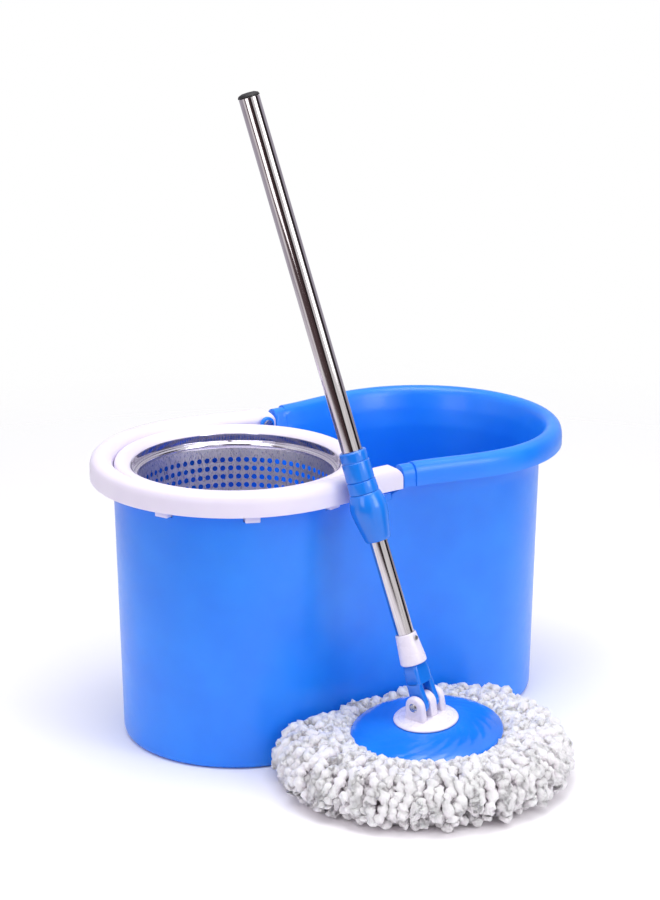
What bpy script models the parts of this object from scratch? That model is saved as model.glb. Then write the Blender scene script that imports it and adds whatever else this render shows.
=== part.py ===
"""Spin mop set: a two-basin bucket with a spinning wringer basket and a carry handle, and the
hand-press mop that leans on its rim. Metres, +Z up, origin on the floor under the bucket's centre,
X along the bucket with the basket at -X, the mop in front at -Y."""

import math

import bmesh
import bpy
from mathutils import Matrix, Vector

for leftover in list(bpy.data.objects):
    bpy.data.objects.remove(leftover, do_unlink=True)

# ---------------------------------------------------------------- driving dimensions
FIT = 0.0003  # gap between pieces that touch
RUN = 0.0003  # radial running clearance of a pin or a shaft

# Bucket: two round basins side by side, drawn in a little between them
BASIN_OFFSET = 0.1125  # from the middle to each basin's axis
BUCKET_HEIGHT = 0.292
BASE_RADIUS = 0.1170
WALL_TOP_RADIUS = 0.1217
WALL = 0.0024
WAIST = 0.0130  # how far each long side is drawn in at the middle
RIM_RADIUS = 0.1450  # outside of the rolled rim
RIM_DROP = 0.0235  # height of the rim's outer skirt
RIM_WALL = 0.0025
NECK_DROP = 0.042  # from the rim's top down to the straight wall
LEDGE_DROP = 0.0200  # the carry handle's ledge, below the rim's top
LEDGE_RADIUS = 0.1405
FLOOR = 0.0030
BASE_EDGE = 0.006

# Spindle that the basket turns on
POST_FOOT_RADIUS = 0.0240
POST_TOP_RADIUS = 0.0155
POST_HEIGHT = 0.1300
POST_CAP = 0.0200  # solid top of the hollow post
SPINDLE_RADIUS = 0.0040
SPINDLE_SEAT = 0.0180  # length of spindle pressed into the post
SPINDLE_STAND = 0.0200  # length standing proud

# Basket
BASKET_RADIUS = 0.1035  # over the rolled bead
BEAD_RADIUS = 0.0032
BASKET_SHEET = 0.0008
BASKET_FOOT_RADIUS = 0.0880
FLOOR_ABOVE_POST = 0.0285  # underside of the plastic base, above the post
BASKET_BASE_THICKNESS = 0.0030
BASKET_DROP = 0.0196  # bead top, below the rim's top
CONE_RADIUS = 0.0220
CONE_HEIGHT = 0.0180
BUSH_WALL = 0.0030
DRAIN_SLOTS = 8
RIVETS = 4
RIVET_RADIUS = 0.0015

# Basket ring, snapped into the wall
RING_RADIUS = 0.1212
RING_INNER_RADIUS = 0.1045
RING_TOP_DROP = 0.0050
RING_SKIRT_RADIUS = 0.1185
RING_WALL = 0.0020
HOOK_ANGLES = (-154, -113, -72, 72, 113, 154)
HOOK_WIDTH = 0.0145
HOOK_REACH = 0.1285
HOOK_DROP = 0.0337  # underside of the hooks, below the rim's top
HOOK_THICKNESS = 0.0072

# Carry handle
HANDLE_INNER_RADIUS = 0.1222
PIVOT_X = -0.0130
PIVOT_DROP = 0.0130  # pivot axis below the rim's top
HANDLE_PIN_RADIUS = 0.0030
HANDLE_END_GAP = 0.0020  # between the handle's ends and the rim
BOSS_THICKNESS = 0.0040
BOSS_RADIUS = 0.0080

# Mop
PIVOT = Vector((-0.0270, -0.2120, 0.0800))  # where the pole hinges on the head
HEAD_YAW = math.radians(18)  # of the hinge pin, from the bucket's long axis
HEAD_ROLL = math.radians(5)  # the head lies a little uneven on its strands
POLE_LEAN = math.radians(17)  # towards the bucket, until the collar meets the handle
PLATE_RADIUS = 0.0746
PLATE_THICKNESS = 0.0029
HUB_RADIUS = 0.0318
HUB_DROP = 0.0190  # pin axis above the plate
LUG_RADIUS = 0.0105
CENTRE_LUG = 0.0092  # width of the lug between the fork's arms
ARM = 0.0056
CHEEK = 0.0078
HUB_PIN_RADIUS = 0.0030
SCREW_RADIUS = 0.0014
STRAND_RADIUS = 0.1510
STRAND_TUCK = 0.0110  # how much shorter they lie in front than at the sides
STRAND_CREST = 0.0530
STRAND_BED = 0.0325  # height of the strands below the plate
STRAND_HOLE = 0.0300

# Pole, measured up from the hinge pin
LOWER_TUBE_RADIUS = 0.0088
UPPER_TUBE_RADIUS = 0.0100
TUBE_WALL = 0.0008
BRIDGE_Z = 0.0190
CONNECTOR_Z = 0.0393
CONNECTOR_TOP = 0.0700
CONNECTOR_RADIUS = 0.0132
TUBE_SEAT_Z = 0.0605
LOWER_TUBE_TOP = 0.3800
UPPER_TUBE_Z = 0.1900
UPPER_TUBE_TOP = 0.6000
BARREL_Z = 0.1650
BARREL_TOP = 0.2130
BARREL_RADIUS = 0.0182
SLEEVE_RADIUS = 0.0133
SLEEVE_TOP = 0.2545
ROD_WIDTH = 0.0090
ROD_THICKNESS = 0.0026
ROD_LEAD = 0.0600  # length of rod for one turn
ROD_Z = 0.2550
ROD_TOP = 0.5700
NUT_THICKNESS = 0.0050
ROD_HOLE_RADIUS = 0.0056

RIM_Z = BUCKET_HEIGHT
NECK_Z = RIM_Z - NECK_DROP
LEDGE_Z = RIM_Z - LEDGE_DROP
SKIRT_Z = RIM_Z - RIM_DROP
PIVOT_Z = RIM_Z - PIVOT_DROP
HOOK_Z = RIM_Z - HOOK_DROP
BASKET_FLOOR_Z = POST_HEIGHT + FLOOR_ABOVE_POST
BASKET_AXIS = Matrix.Translation((-BASIN_OFFSET, 0, 0))
HANDLE_AXIS = Matrix.Translation((PIVOT_X, 0, PIVOT_Z))

# ---------------------------------------------------------------- collections and materials
parts = bpy.data.collections.new("spin_mop")
cutters = bpy.data.collections.new("cutters")
cutters.hide_render = True
bpy.context.scene.collection.children.link(parts)
bpy.context.scene.collection.children.link(cutters)


def material(name, colour, roughness, metallic=0.0):
    made = bpy.data.materials.new(name)
    made.use_nodes = True
    shader = made.node_tree.nodes["Principled BSDF"]
    shader.inputs["Base Color"].default_value = (*colour, 1)
    shader.inputs["Roughness"].default_value = roughness
    shader.inputs["Metallic"].default_value = metallic
    made.diffuse_color = (*colour, 1)
    return made


BLUE = material("blue_polypropylene", (0.02, 0.25, 0.90), 0.28)
DEEP_BLUE = material("blue_abs", (0.01, 0.20, 0.75), 0.22)
WHITE = material("white_polypropylene", (0.88, 0.86, 0.92), 0.35)
STEEL = material("stainless_steel", (0.62, 0.62, 0.64), 0.25, 1.0)
DARK = material("black_polypropylene", (0.03, 0.03, 0.03), 0.5)
ACETAL = material("natural_acetal", (0.80, 0.79, 0.74), 0.4)
COTTON = material("microfibre_strands", (0.92, 0.90, 0.93), 0.95)


# ---------------------------------------------------------------- modelling helpers
def add_object(name, mesh_data, finish, frame=None, smooth=35):
    """Puts a mesh in the parts, or in the cutters when it has no finish."""
    piece = bpy.data.objects.new(name, mesh_data)
    piece.matrix_world = frame or Matrix()
    if finish is None:
        cutters.objects.link(piece)
        piece.hide_render = True
        piece.display_type = "WIRE"
        return piece
    parts.objects.link(piece)
    mesh_data.materials.append(finish)
    if smooth:
        mesh_data.shade_smooth()
        mesh_data.set_sharp_from_angle(angle=math.radians(smooth))
    return piece


def from_bmesh(name, work, finish, frame=None):
    bmesh.ops.recalc_face_normals(work, faces=work.faces)
    made = bpy.data.meshes.new(name)
    work.to_mesh(made)
    work.free()
    return add_object(name, made, finish, frame)


def turned(name, profile, finish, frame=None, steps=24, loop=True):
    """A profile of (radius, height) points turned about Z. A loop closes on itself; an open profile
    starts and ends on the axis."""
    area = sum(
        a[0] * b[1] - b[0] * a[1] for a, b in zip(profile, profile[1:] + profile[:1])
    )
    points = profile if area < 0 else profile[::-1]
    made = bpy.data.meshes.new(name)
    edges = [(i, i + 1) for i in range(len(points) - 1)]
    if loop:
        edges.append((len(points) - 1, 0))
    made.from_pydata([(r, 0, z) for r, z in points], edges, [])
    piece = add_object(name, made, finish, frame, smooth=0)
    screw = piece.modifiers.new("turn", "SCREW")
    screw.steps = screw.render_steps = steps
    screw.use_merge_vertices = True
    screw.merge_threshold = 0.00001
    screw.use_smooth_shade = True
    return piece


def loft(name, sections, finish, frame=None, cyclic=False):
    """Sections of equally many points, joined in order, with flat ends unless the loft is cyclic."""
    work = bmesh.new()
    rows = [[work.verts.new(point) for point in section] for section in sections]
    pairs = list(zip(rows, rows[1:] + rows[:1])) if cyclic else list(zip(rows, rows[1:]))
    for low, high in pairs:
        for i in range(len(low)):
            j = (i + 1) % len(low)
            work.faces.new((low[i], low[j], high[j], high[i]))
    if not cyclic:
        work.faces.new(rows[0])
        work.faces.new(rows[-1])
    return from_bmesh(name, work, finish, frame)


def in_axes(axis, a, b, along):
    """The point at a height along one axis, with the other two given in their own order."""
    return {"X": (along, a, b), "Y": (a, along, b), "Z": (a, b, along)}[axis]


def prism(name, outline, low, high, axis, finish, frame=None):
    """A flat outline extruded along X, Y or Z, its points given in the other two axes' order."""
    work = bmesh.new()
    face = work.faces.new([work.verts.new(in_axes(axis, a, b, low)) for a, b in outline])
    grown = bmesh.ops.extrude_face_region(work, geom=[face])["geom"]
    moved = [item for item in grown if isinstance(item, bmesh.types.BMVert)]
    bmesh.ops.translate(work, verts=moved, vec=in_axes(axis, 0, 0, high - low))
    return from_bmesh(name, work, finish, frame)


def block(name, low, high, finish, frame=None):
    low, high = Vector(low), Vector(high)
    place = Matrix.Translation((low + high) / 2) @ Matrix.Diagonal((*(high - low), 1))
    work = bmesh.new()
    bmesh.ops.create_cube(work, size=1, matrix=place)
    return from_bmesh(name, work, finish, frame)


def arc(centre, radius, start, end, count):
    """Points on an arc, angles in degrees."""
    turns = [math.radians(start + (end - start) * i / count) for i in range(count + 1)]
    return [
        (centre[0] + radius * math.cos(t), centre[1] + radius * math.sin(t)) for t in turns
    ]


def round_bar(name, radius, low, high, axis, finish, frame=None, sides=20, centre=(0, 0)):
    middle = Matrix.Translation(in_axes(axis, *centre, (low + high) / 2))
    turn = Vector(in_axes(axis, 0, 0, 1)).to_track_quat("Z", "Y").to_matrix().to_4x4()
    work = bmesh.new()
    bmesh.ops.create_cone(
        work,
        cap_ends=True,
        segments=sides,
        radius1=radius,
        radius2=radius,
        depth=high - low,
        matrix=middle @ turn,
    )
    return from_bmesh(name, work, finish, frame)


def boolean(target, other, operation):
    change = target.modifiers.new(operation.lower(), "BOOLEAN")
    change.operation = operation
    change.object = other
    change.solver = "EXACT"


def cut(target, *others):
    for other in others:
        boolean(target, other, "DIFFERENCE")


def join(target, *others):
    for other in others:
        boolean(target, other, "UNION")


# ---------------------------------------------------------------- the bucket's outline
def waist(x):
    """How far the long side is drawn in at x."""
    if abs(x) >= BASIN_OFFSET:
        return 0.0
    return WAIST * (0.5 + 0.5 * math.cos(math.pi * x / BASIN_OFFSET))


def side_y(x, radius):
    """Half width of the outline of this basin radius, at x between the basins' axes."""
    return radius - waist(x)


def on_side(x, sign):
    return lambda radius: (x, sign * side_y(x, radius))


def on_arc(side, angle):
    turn = math.radians(angle)
    return lambda radius: (
        side * BASIN_OFFSET + radius * math.cos(turn),
        radius * math.sin(turn),
    )


ARC_STEPS = 22
SIDE_XS = (0.020, 0.040, 0.062, 0.086)
ledge_end_x = PIVOT_X - BOSS_RADIUS - 0.0060
rim_end_x = 0.0015
STEP = 0.0005  # length over which the rim turns into the ledge

# Right-hand and left-hand stretches, each going round from the front side to the back side
right_stations = (
    [on_side(x, -1) for x in (rim_end_x + STEP, *SIDE_XS)]
    + [on_arc(1, -90 + 180 * i / ARC_STEPS) for i in range(ARC_STEPS + 1)]
    + [on_side(x, 1) for x in (*SIDE_XS[::-1], rim_end_x + STEP)]
)
left_stations = (
    [on_side(x, 1) for x in (ledge_end_x, *(-x for x in SIDE_XS[1:]))]
    + [on_arc(-1, 90 + 180 * i / ARC_STEPS) for i in range(ARC_STEPS + 1)]
    + [on_side(x, -1) for x in (*(-x for x in SIDE_XS[:0:-1]), ledge_end_x)]
)
notch_back = [on_side(x, 1) for x in (rim_end_x, PIVOT_X, ledge_end_x + STEP)]
notch_front = [on_side(x, -1) for x in (ledge_end_x + STEP, PIVOT_X, rim_end_x)]


def wall_radius(z):
    return BASE_RADIUS + (WALL_TOP_RADIUS - BASE_RADIUS) * z / NECK_Z


# Each profile runs up the outside from the neck, over the top, and back down to the neck inside
neck_out, neck_in = wall_radius(NECK_Z), wall_radius(NECK_Z) - WALL
rim_in = RIM_RADIUS - RIM_WALL
rim_profile = [
    (neck_out, NECK_Z),
    (neck_out + 0.0028, RIM_Z - 0.0230),
    (neck_out + 0.0073, RIM_Z - 0.0095),
    (neck_out + 0.0128, RIM_Z - 0.0055),
    (rim_in - 0.0030, RIM_Z - 0.0070),
    (rim_in - 0.0003, RIM_Z - 0.0120),
    (rim_in, SKIRT_Z),
    (RIM_RADIUS, SKIRT_Z),
    (RIM_RADIUS, RIM_Z - 0.0115),
    (RIM_RADIUS - 0.0018, RIM_Z - 0.0050),
    (RIM_RADIUS - 0.0055, RIM_Z - 0.0015),
    (RIM_RADIUS - 0.0105, RIM_Z),
    (RIM_RADIUS - 0.0155, RIM_Z - 0.0018),
    (neck_in + 0.0069, RIM_Z - 0.0070),
    (neck_in + 0.0029, RIM_Z - 0.0220),
    (neck_in, NECK_Z),
]
ledge_under = LEDGE_Z - RIM_WALL
ledge_profile = [
    (neck_out, NECK_Z),
    (neck_out + 0.0001, NECK_Z + 0.0100),
    (neck_out + 0.0002, ledge_under - 0.0020),
    (neck_out + 0.0025, ledge_under),
    (neck_out + 0.0100, ledge_under),
    (LEDGE_RADIUS - 0.0030, ledge_under),
    (LEDGE_RADIUS - 0.0004, ledge_under + 0.0001),
    (LEDGE_RADIUS, ledge_under + 0.0006),
    (LEDGE_RADIUS, LEDGE_Z - 0.0006),
    (LEDGE_RADIUS - 0.0004, LEDGE_Z - 0.0001),
    (LEDGE_RADIUS - 0.0030, LEDGE_Z),
    (neck_out + 0.0100, LEDGE_Z),
    (neck_out + 0.0025, LEDGE_Z),
    (neck_in + 0.0003, LEDGE_Z),
    (neck_in + 0.0002, NECK_Z + 0.0100),
    (neck_in, NECK_Z),
]
NOTCH_RISE = 0.0075  # wall above the neck where the handle's ends swing
notch_profile = [
    (neck_out, NECK_Z + NOTCH_RISE * share) for share in (0, 0.2, 0.4, 0.55, 0.7, 0.8, 0.9, 1)
] + [
    (neck_in, NECK_Z + NOTCH_RISE * share) for share in (1, 0.9, 0.8, 0.7, 0.55, 0.4, 0.2, 0)
]
foot_profile = [
    (BASE_RADIUS - BASE_EDGE, 0.0),
    (BASE_RADIUS - 0.25 * BASE_EDGE, 0.3 * BASE_EDGE),
    (wall_radius(BASE_EDGE), BASE_EDGE),
]
inner_foot_profile = [
    (wall_radius(0.010) - WALL, 0.010),
    (wall_radius(0.010) - WALL - 0.0030, FLOOR + 0.0015),
    (wall_radius(0.010) - WALL - 0.0085, FLOOR),
]


# ---------------------------------------------------------------- bucket
def build_bucket():
    stations = (
        [(station, rim_profile) for station in right_stations]
        + [(station, notch_profile) for station in notch_back]
        + [(station, ledge_profile) for station in left_stations]
        + [(station, notch_profile) for station in notch_front]
    )
    row_count = len(foot_profile) + len(rim_profile) + len(inner_foot_profile)
    sections = []
    for row in range(row_count):
        section = []
        for station, top in stations:
            radius, height = (foot_profile + top + inner_foot_profile)[row]
            section.append((*station(radius), height))
        sections.append(section)
    bucket = loft("bucket_body", sections, BLUE)

    post = turned(
        "post",
        [
            (0, POST_HEIGHT - SPINDLE_SEAT - FIT),
            (SPINDLE_RADIUS + FIT, POST_HEIGHT - SPINDLE_SEAT - FIT),
            (SPINDLE_RADIUS + FIT, POST_HEIGHT),
            (POST_TOP_RADIUS - 0.001, POST_HEIGHT),
            (POST_TOP_RADIUS, POST_HEIGHT - 0.001),
            (POST_FOOT_RADIUS, FLOOR + 0.004),
            (POST_FOOT_RADIUS + 0.004, FLOOR / 2),
            (0, FLOOR / 2),
        ],
        None,
        BASKET_AXIS,
        loop=False,
    )
    hollow_top = POST_HEIGHT - POST_CAP
    hollow = turned(
        "post_hollow",
        [
            (0, hollow_top),
            (POST_TOP_RADIUS - WALL, hollow_top),
            (POST_FOOT_RADIUS - WALL, -0.001),
            (0, -0.001),
        ],
        None,
        BASKET_AXIS,
        loop=False,
    )
    join(bucket, post)
    cut(bucket, hollow)

    for sign, side in ((-1, "front"), (1, "back")):
        face = side_y(PIVOT_X, wall_radius(NECK_Z)) - 0.0014
        low, high = sorted((sign * face, sign * (face - BOSS_THICKNESS)))
        boss = prism(
            f"boss_{side}",
            [(PIVOT_X + BOSS_RADIUS, NECK_Z - 0.012)]
            + arc((PIVOT_X, PIVOT_Z), BOSS_RADIUS, 0, 180, 10)
            + [(PIVOT_X - BOSS_RADIUS, NECK_Z - 0.012)],
            low,
            high,
            "Y",
            None,
        )
        hole = round_bar(
            f"boss_hole_{side}",
            HANDLE_PIN_RADIUS + RUN,
            low - 0.004,
            high + 0.004,
            "Y",
            None,
            centre=(PIVOT_X, PIVOT_Z),
            sides=16,
        )
        join(bucket, boss)
        cut(bucket, hole)

    for angle in HOOK_ANGLES:
        window = block(
            f"window_{angle}",
            (RING_SKIRT_RADIUS - 0.006, -HOOK_WIDTH / 2 - 0.001, HOOK_Z - 0.001),
            (HOOK_REACH + 0.004, HOOK_WIDTH / 2 + 0.001, HOOK_Z + HOOK_THICKNESS + 0.001),
            None,
            BASKET_AXIS @ Matrix.Rotation(math.radians(angle), 4, "Z"),
        )
        cut(bucket, window)


def build_spindle():
    round_bar(
        "spindle_pin",
        SPINDLE_RADIUS,
        POST_HEIGHT - SPINDLE_SEAT,
        POST_HEIGHT + SPINDLE_STAND,
        "Z",
        STEEL,
        BASKET_AXIS,
    )


def build_basket_ring():
    top = RIM_Z - RING_TOP_DROP
    seat = LEDGE_Z + FIT
    skirt_low = HOOK_Z - 0.0040
    ring = turned(
        "basket_ring",
        [
            (RING_RADIUS, seat),
            (RING_RADIUS, top - 0.0060),
            (RING_RADIUS - 0.0015, top - 0.0018),
            (RING_RADIUS - 0.0052, top),
            (RING_RADIUS - 0.0100, top - 0.0010),
            (RING_INNER_RADIUS + 0.0020, top - 0.0045),
            (RING_INNER_RADIUS, top - 0.0068),
            (RING_INNER_RADIUS, top - 0.0130),
            (RING_INNER_RADIUS + RING_WALL, top - 0.0130),
            (RING_INNER_RADIUS + RING_WALL, top - 0.0075),
            (RING_RADIUS - 0.0098, top - 0.0035),
            (RING_SKIRT_RADIUS - RING_WALL - 0.0008, top - 0.0030),
            (RING_SKIRT_RADIUS - RING_WALL, top - 0.0060),
            (RING_SKIRT_RADIUS - RING_WALL, skirt_low),
            (RING_SKIRT_RADIUS, skirt_low),
            (RING_SKIRT_RADIUS, seat),
        ],
        WHITE,
        BASKET_AXIS,
        steps=44,
    )
    for angle in HOOK_ANGLES:
        hook = block(
            f"hook_{angle}",
            (RING_SKIRT_RADIUS - RING_WALL / 2, -HOOK_WIDTH / 2, HOOK_Z),
            (HOOK_REACH, HOOK_WIDTH / 2, HOOK_Z + HOOK_THICKNESS),
            None,
            BASKET_AXIS @ Matrix.Rotation(math.radians(angle), 4, "Z"),
        )
        join(ring, hook)


def build_carry_handle():
    inner = HANDLE_INNER_RADIUS
    section = [
        (RIM_RADIUS - RIM_WALL, SKIRT_Z),
        (RIM_RADIUS, SKIRT_Z),
        (RIM_RADIUS, RIM_Z - 0.0085),
        (RIM_RADIUS - 0.0018, RIM_Z - 0.0035),
        (RIM_RADIUS - 0.0055, RIM_Z - 0.0008),
        (RIM_RADIUS - 0.0110, RIM_Z),
        (inner + 0.0063, RIM_Z - 0.0012),
        (inner + 0.0021, RIM_Z - 0.0045),
        (inner, RIM_Z - 0.0090),
        (inner, LEDGE_Z + FIT),
        (inner + RIM_WALL, LEDGE_Z + FIT),
        (inner + RIM_WALL, RIM_Z - 0.0100),
        (inner + 0.0053, RIM_Z - 0.0058),
        (RIM_RADIUS - 0.0115, RIM_Z - 0.0028),
        (RIM_RADIUS - 0.0055, RIM_Z - 0.0040),
        (RIM_RADIUS - RIM_WALL, RIM_Z - 0.0080),
    ]
    end_x = rim_end_x - HANDLE_END_GAP
    side_xs = (end_x, PIVOT_X, ledge_end_x, *(-x for x in SIDE_XS[1:]))
    stations = (
        [on_side(x, 1) for x in side_xs]
        + [on_arc(-1, 90 + 180 * i / ARC_STEPS) for i in range(ARC_STEPS + 1)]
        + [on_side(x, -1) for x in side_xs[::-1]]
    )
    sections = []
    for station in stations:
        ring = [Vector((*station(radius), height)) for radius, height in section]
        sections.append([point - HANDLE_AXIS.translation for point in ring])
    handle = loft("carry_handle", sections, WHITE, HANDLE_AXIS)
    end_radius = end_x - PIVOT_X
    for sign, side in ((-1, "front"), (1, "back")):
        near = side_y(PIVOT_X, inner) + 0.0010
        far = side_y(PIVOT_X, RIM_RADIUS) - 0.0010
        low, high = sorted((sign * near, sign * far))
        filling = block(
            f"handle_end_{side}",
            (PIVOT_X - end_radius, low, SKIRT_Z + 0.0005),
            (end_x - 0.0005, high, RIM_Z - 0.0035),
            None,
        )
        corner = prism(
            f"handle_corner_{side}",
            arc((PIVOT_X, PIVOT_Z), end_radius, 90, 0, 8)
            + [(end_x + 0.003, PIVOT_Z), (end_x + 0.003, RIM_Z + 0.003), (PIVOT_X, RIM_Z + 0.003)],
            low - 0.006,
            high + 0.006,
            "Y",
            None,
        )
        depth = sorted((sign * (near - 0.004), sign * (far - 0.0030)))
        hole = round_bar(
            f"handle_hole_{side}",
            HANDLE_PIN_RADIUS + RUN,
            depth[0],
            depth[1],
            "Y",
            None,
            centre=(PIVOT_X, PIVOT_Z),
            sides=16,
        )
        join(handle, filling)
        cut(handle, corner, hole)


def build_handle_pins():
    wall_face = side_y(PIVOT_X, wall_radius(NECK_Z)) - 0.0014
    head_face = wall_face - BOSS_THICKNESS - FIT
    tip = side_y(PIVOT_X, RIM_RADIUS) - 0.0010 - 0.0030 - FIT
    outline = [
        (0, tip),
        (HANDLE_PIN_RADIUS - 0.0005, tip),
        (HANDLE_PIN_RADIUS, tip - 0.0005),
        (HANDLE_PIN_RADIUS, head_face),
        (0.0055, head_face),
        (0.0050, head_face - 0.0020),
        (0, head_face - 0.0024),
    ]
    for sign, side in ((-1, "front"), (1, "back")):
        frame = Matrix.Translation((PIVOT_X, 0, PIVOT_Z)) @ Matrix.Rotation(
            -sign * math.pi / 2, 4, "X"
        )
        turned(f"handle_pin_{side}", outline, STEEL, frame, steps=16, loop=False)


# ---------------------------------------------------------------- basket
def rivet_places():
    radius = BASKET_FOOT_RADIUS - 0.0052
    for i in range(RIVETS):
        turn = 2 * math.pi * (i + 0.5) / RIVETS
        yield i + 1, (radius * math.cos(turn), radius * math.sin(turn))


def build_basket():
    sheet = BASKET_SHEET
    floor_top = BASKET_FLOOR_Z + BASKET_BASE_THICKNESS
    flange_low = floor_top + FIT
    bead = (BASKET_RADIUS - BEAD_RADIUS, RIM_Z - BASKET_DROP - BEAD_RADIUS)
    wall_top = (bead[0] - 0.0010, bead[1] - 0.0028)
    shell = turned(
        "basket_shell",
        [
            (BASKET_FOOT_RADIUS - 0.0100, flange_low),
            (BASKET_FOOT_RADIUS, flange_low),
            (BASKET_FOOT_RADIUS + 0.0010, flange_low + 0.0010),
            wall_top,
        ]
        + arc(bead, BEAD_RADIUS, -80, 190, 7)
        + [
            (wall_top[0] - sheet, wall_top[1]),
            (BASKET_FOOT_RADIUS + 0.0010 - sheet, flange_low + 0.0010 + sheet),
            (BASKET_FOOT_RADIUS - 0.0010, flange_low + sheet),
            (BASKET_FOOT_RADIUS - 0.0100, flange_low + sheet),
        ],
        STEEL,
        BASKET_AXIS,
        steps=44,
    )
    bush_outer = SPINDLE_RADIUS + RUN + BUSH_WALL
    spindle_top = POST_HEIGHT + SPINDLE_STAND
    hub_low = POST_HEIGHT + 0.0030
    base = turned(
        "basket_base",
        [
            (0, floor_top + CONE_HEIGHT),
            (CONE_RADIUS * 0.55, floor_top + CONE_HEIGHT),
            (CONE_RADIUS * 0.70, floor_top + CONE_HEIGHT - 0.0020),
            (CONE_RADIUS, floor_top),
            (BASKET_FOOT_RADIUS - 0.0005, floor_top),
            (BASKET_FOOT_RADIUS - 0.0005, BASKET_FLOOR_Z),
            (bush_outer + 0.0060, BASKET_FLOOR_Z),
            (bush_outer + 0.0035, hub_low),
            (bush_outer + FIT, hub_low),
            (bush_outer + FIT, spindle_top + 0.0040),
            (0, spindle_top + 0.0040),
        ],
        WHITE,
        BASKET_AXIS,
        steps=40,
        loop=False,
    )
    slots = bmesh.new()
    for i in range(DRAIN_SLOTS):
        place = (
            Matrix.Rotation(2 * math.pi * i / DRAIN_SLOTS, 4, "Z")
            @ Matrix.Translation((0.052, 0, BASKET_FLOOR_Z))
            @ Matrix.Diagonal((0.034, 0.0060, 0.02, 1))
        )
        bmesh.ops.create_cube(slots, size=1, matrix=place)
    cut(base, from_bmesh("drain_slots", slots, None, BASKET_AXIS))

    turned(
        "basket_bush",
        [
            (0, spindle_top + 0.0035),
            (bush_outer, spindle_top + 0.0035),
            (bush_outer, hub_low - 0.0010),
            (SPINDLE_RADIUS + RUN, hub_low - 0.0010),
            (SPINDLE_RADIUS + RUN, spindle_top + 0.0005),
            (0, spindle_top + 0.0005),
        ],
        ACETAL,
        BASKET_AXIS,
        steps=24,
        loop=False,
    )

    rivet_top = flange_low + sheet + FIT
    rivet = [
        (0, rivet_top + 0.0014),
        (0.0020, rivet_top + 0.0011),
        (0.0032, rivet_top),
        (RIVET_RADIUS, rivet_top),
        (RIVET_RADIUS, BASKET_FLOOR_Z - FIT),
        (0.0028, BASKET_FLOOR_Z - FIT),
        (0.0024, BASKET_FLOOR_Z - FIT - 0.0010),
        (0, BASKET_FLOOR_Z - FIT - 0.0010),
    ]
    for number, (x, y) in rivet_places():
        place = BASKET_AXIS @ Matrix.Translation((x, y, 0))
        hole = round_bar(
            f"rivet_hole_{number}",
            RIVET_RADIUS + FIT,
            BASKET_FLOOR_Z - 0.002,
            rivet_top + 0.002,
            "Z",
            None,
            place,
            sides=12,
        )
        cut(shell, hole)
        cut(base, hole)
        turned(f"basket_rivet_{number}", rivet, STEEL, place, steps=12, loop=False)


# ---------------------------------------------------------------- mop frames
pin_axis = Vector(
    (
        math.cos(HEAD_YAW) * math.cos(HEAD_ROLL),
        math.sin(HEAD_YAW) * math.cos(HEAD_ROLL),
        math.sin(HEAD_ROLL),
    )
)
head_up = (Vector((0, 0, 1)) - pin_axis.z * pin_axis).normalized()


def frame_of(origin, x_axis, z_axis):
    y_axis = z_axis.cross(x_axis)
    turn = Matrix((x_axis, y_axis, z_axis)).transposed().to_4x4()
    return Matrix.Translation(origin) @ turn


HEAD = frame_of(PIVOT, pin_axis, head_up)
pole_up = HEAD.to_3x3() @ Vector((0, math.sin(POLE_LEAN), math.cos(POLE_LEAN)))
POLE = frame_of(PIVOT, pin_axis, pole_up)
plate_centre = HEAD @ Vector((0, 0, -HUB_DROP))


# ---------------------------------------------------------------- mop head
def screw_places():
    for i in range(3):
        turn = 2 * math.pi * i / 3 + math.pi / 2
        yield i + 1, (0.022 * math.cos(turn), 0.022 * math.sin(turn))


def lug_outline():
    """Side view of a lug: round about the pin, straight down to the hub."""
    return arc((0, 0), LUG_RADIUS, 0, 180, 10) + [
        (-LUG_RADIUS, -HUB_DROP + 0.002),
        (LUG_RADIUS, -HUB_DROP + 0.002),
    ]


centre_half = CENTRE_LUG / 2
arm_low = centre_half + 0.0005
arm_high = arm_low + ARM
cheek_low = arm_high + 0.0005
cheek_high = cheek_low + CHEEK


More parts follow.
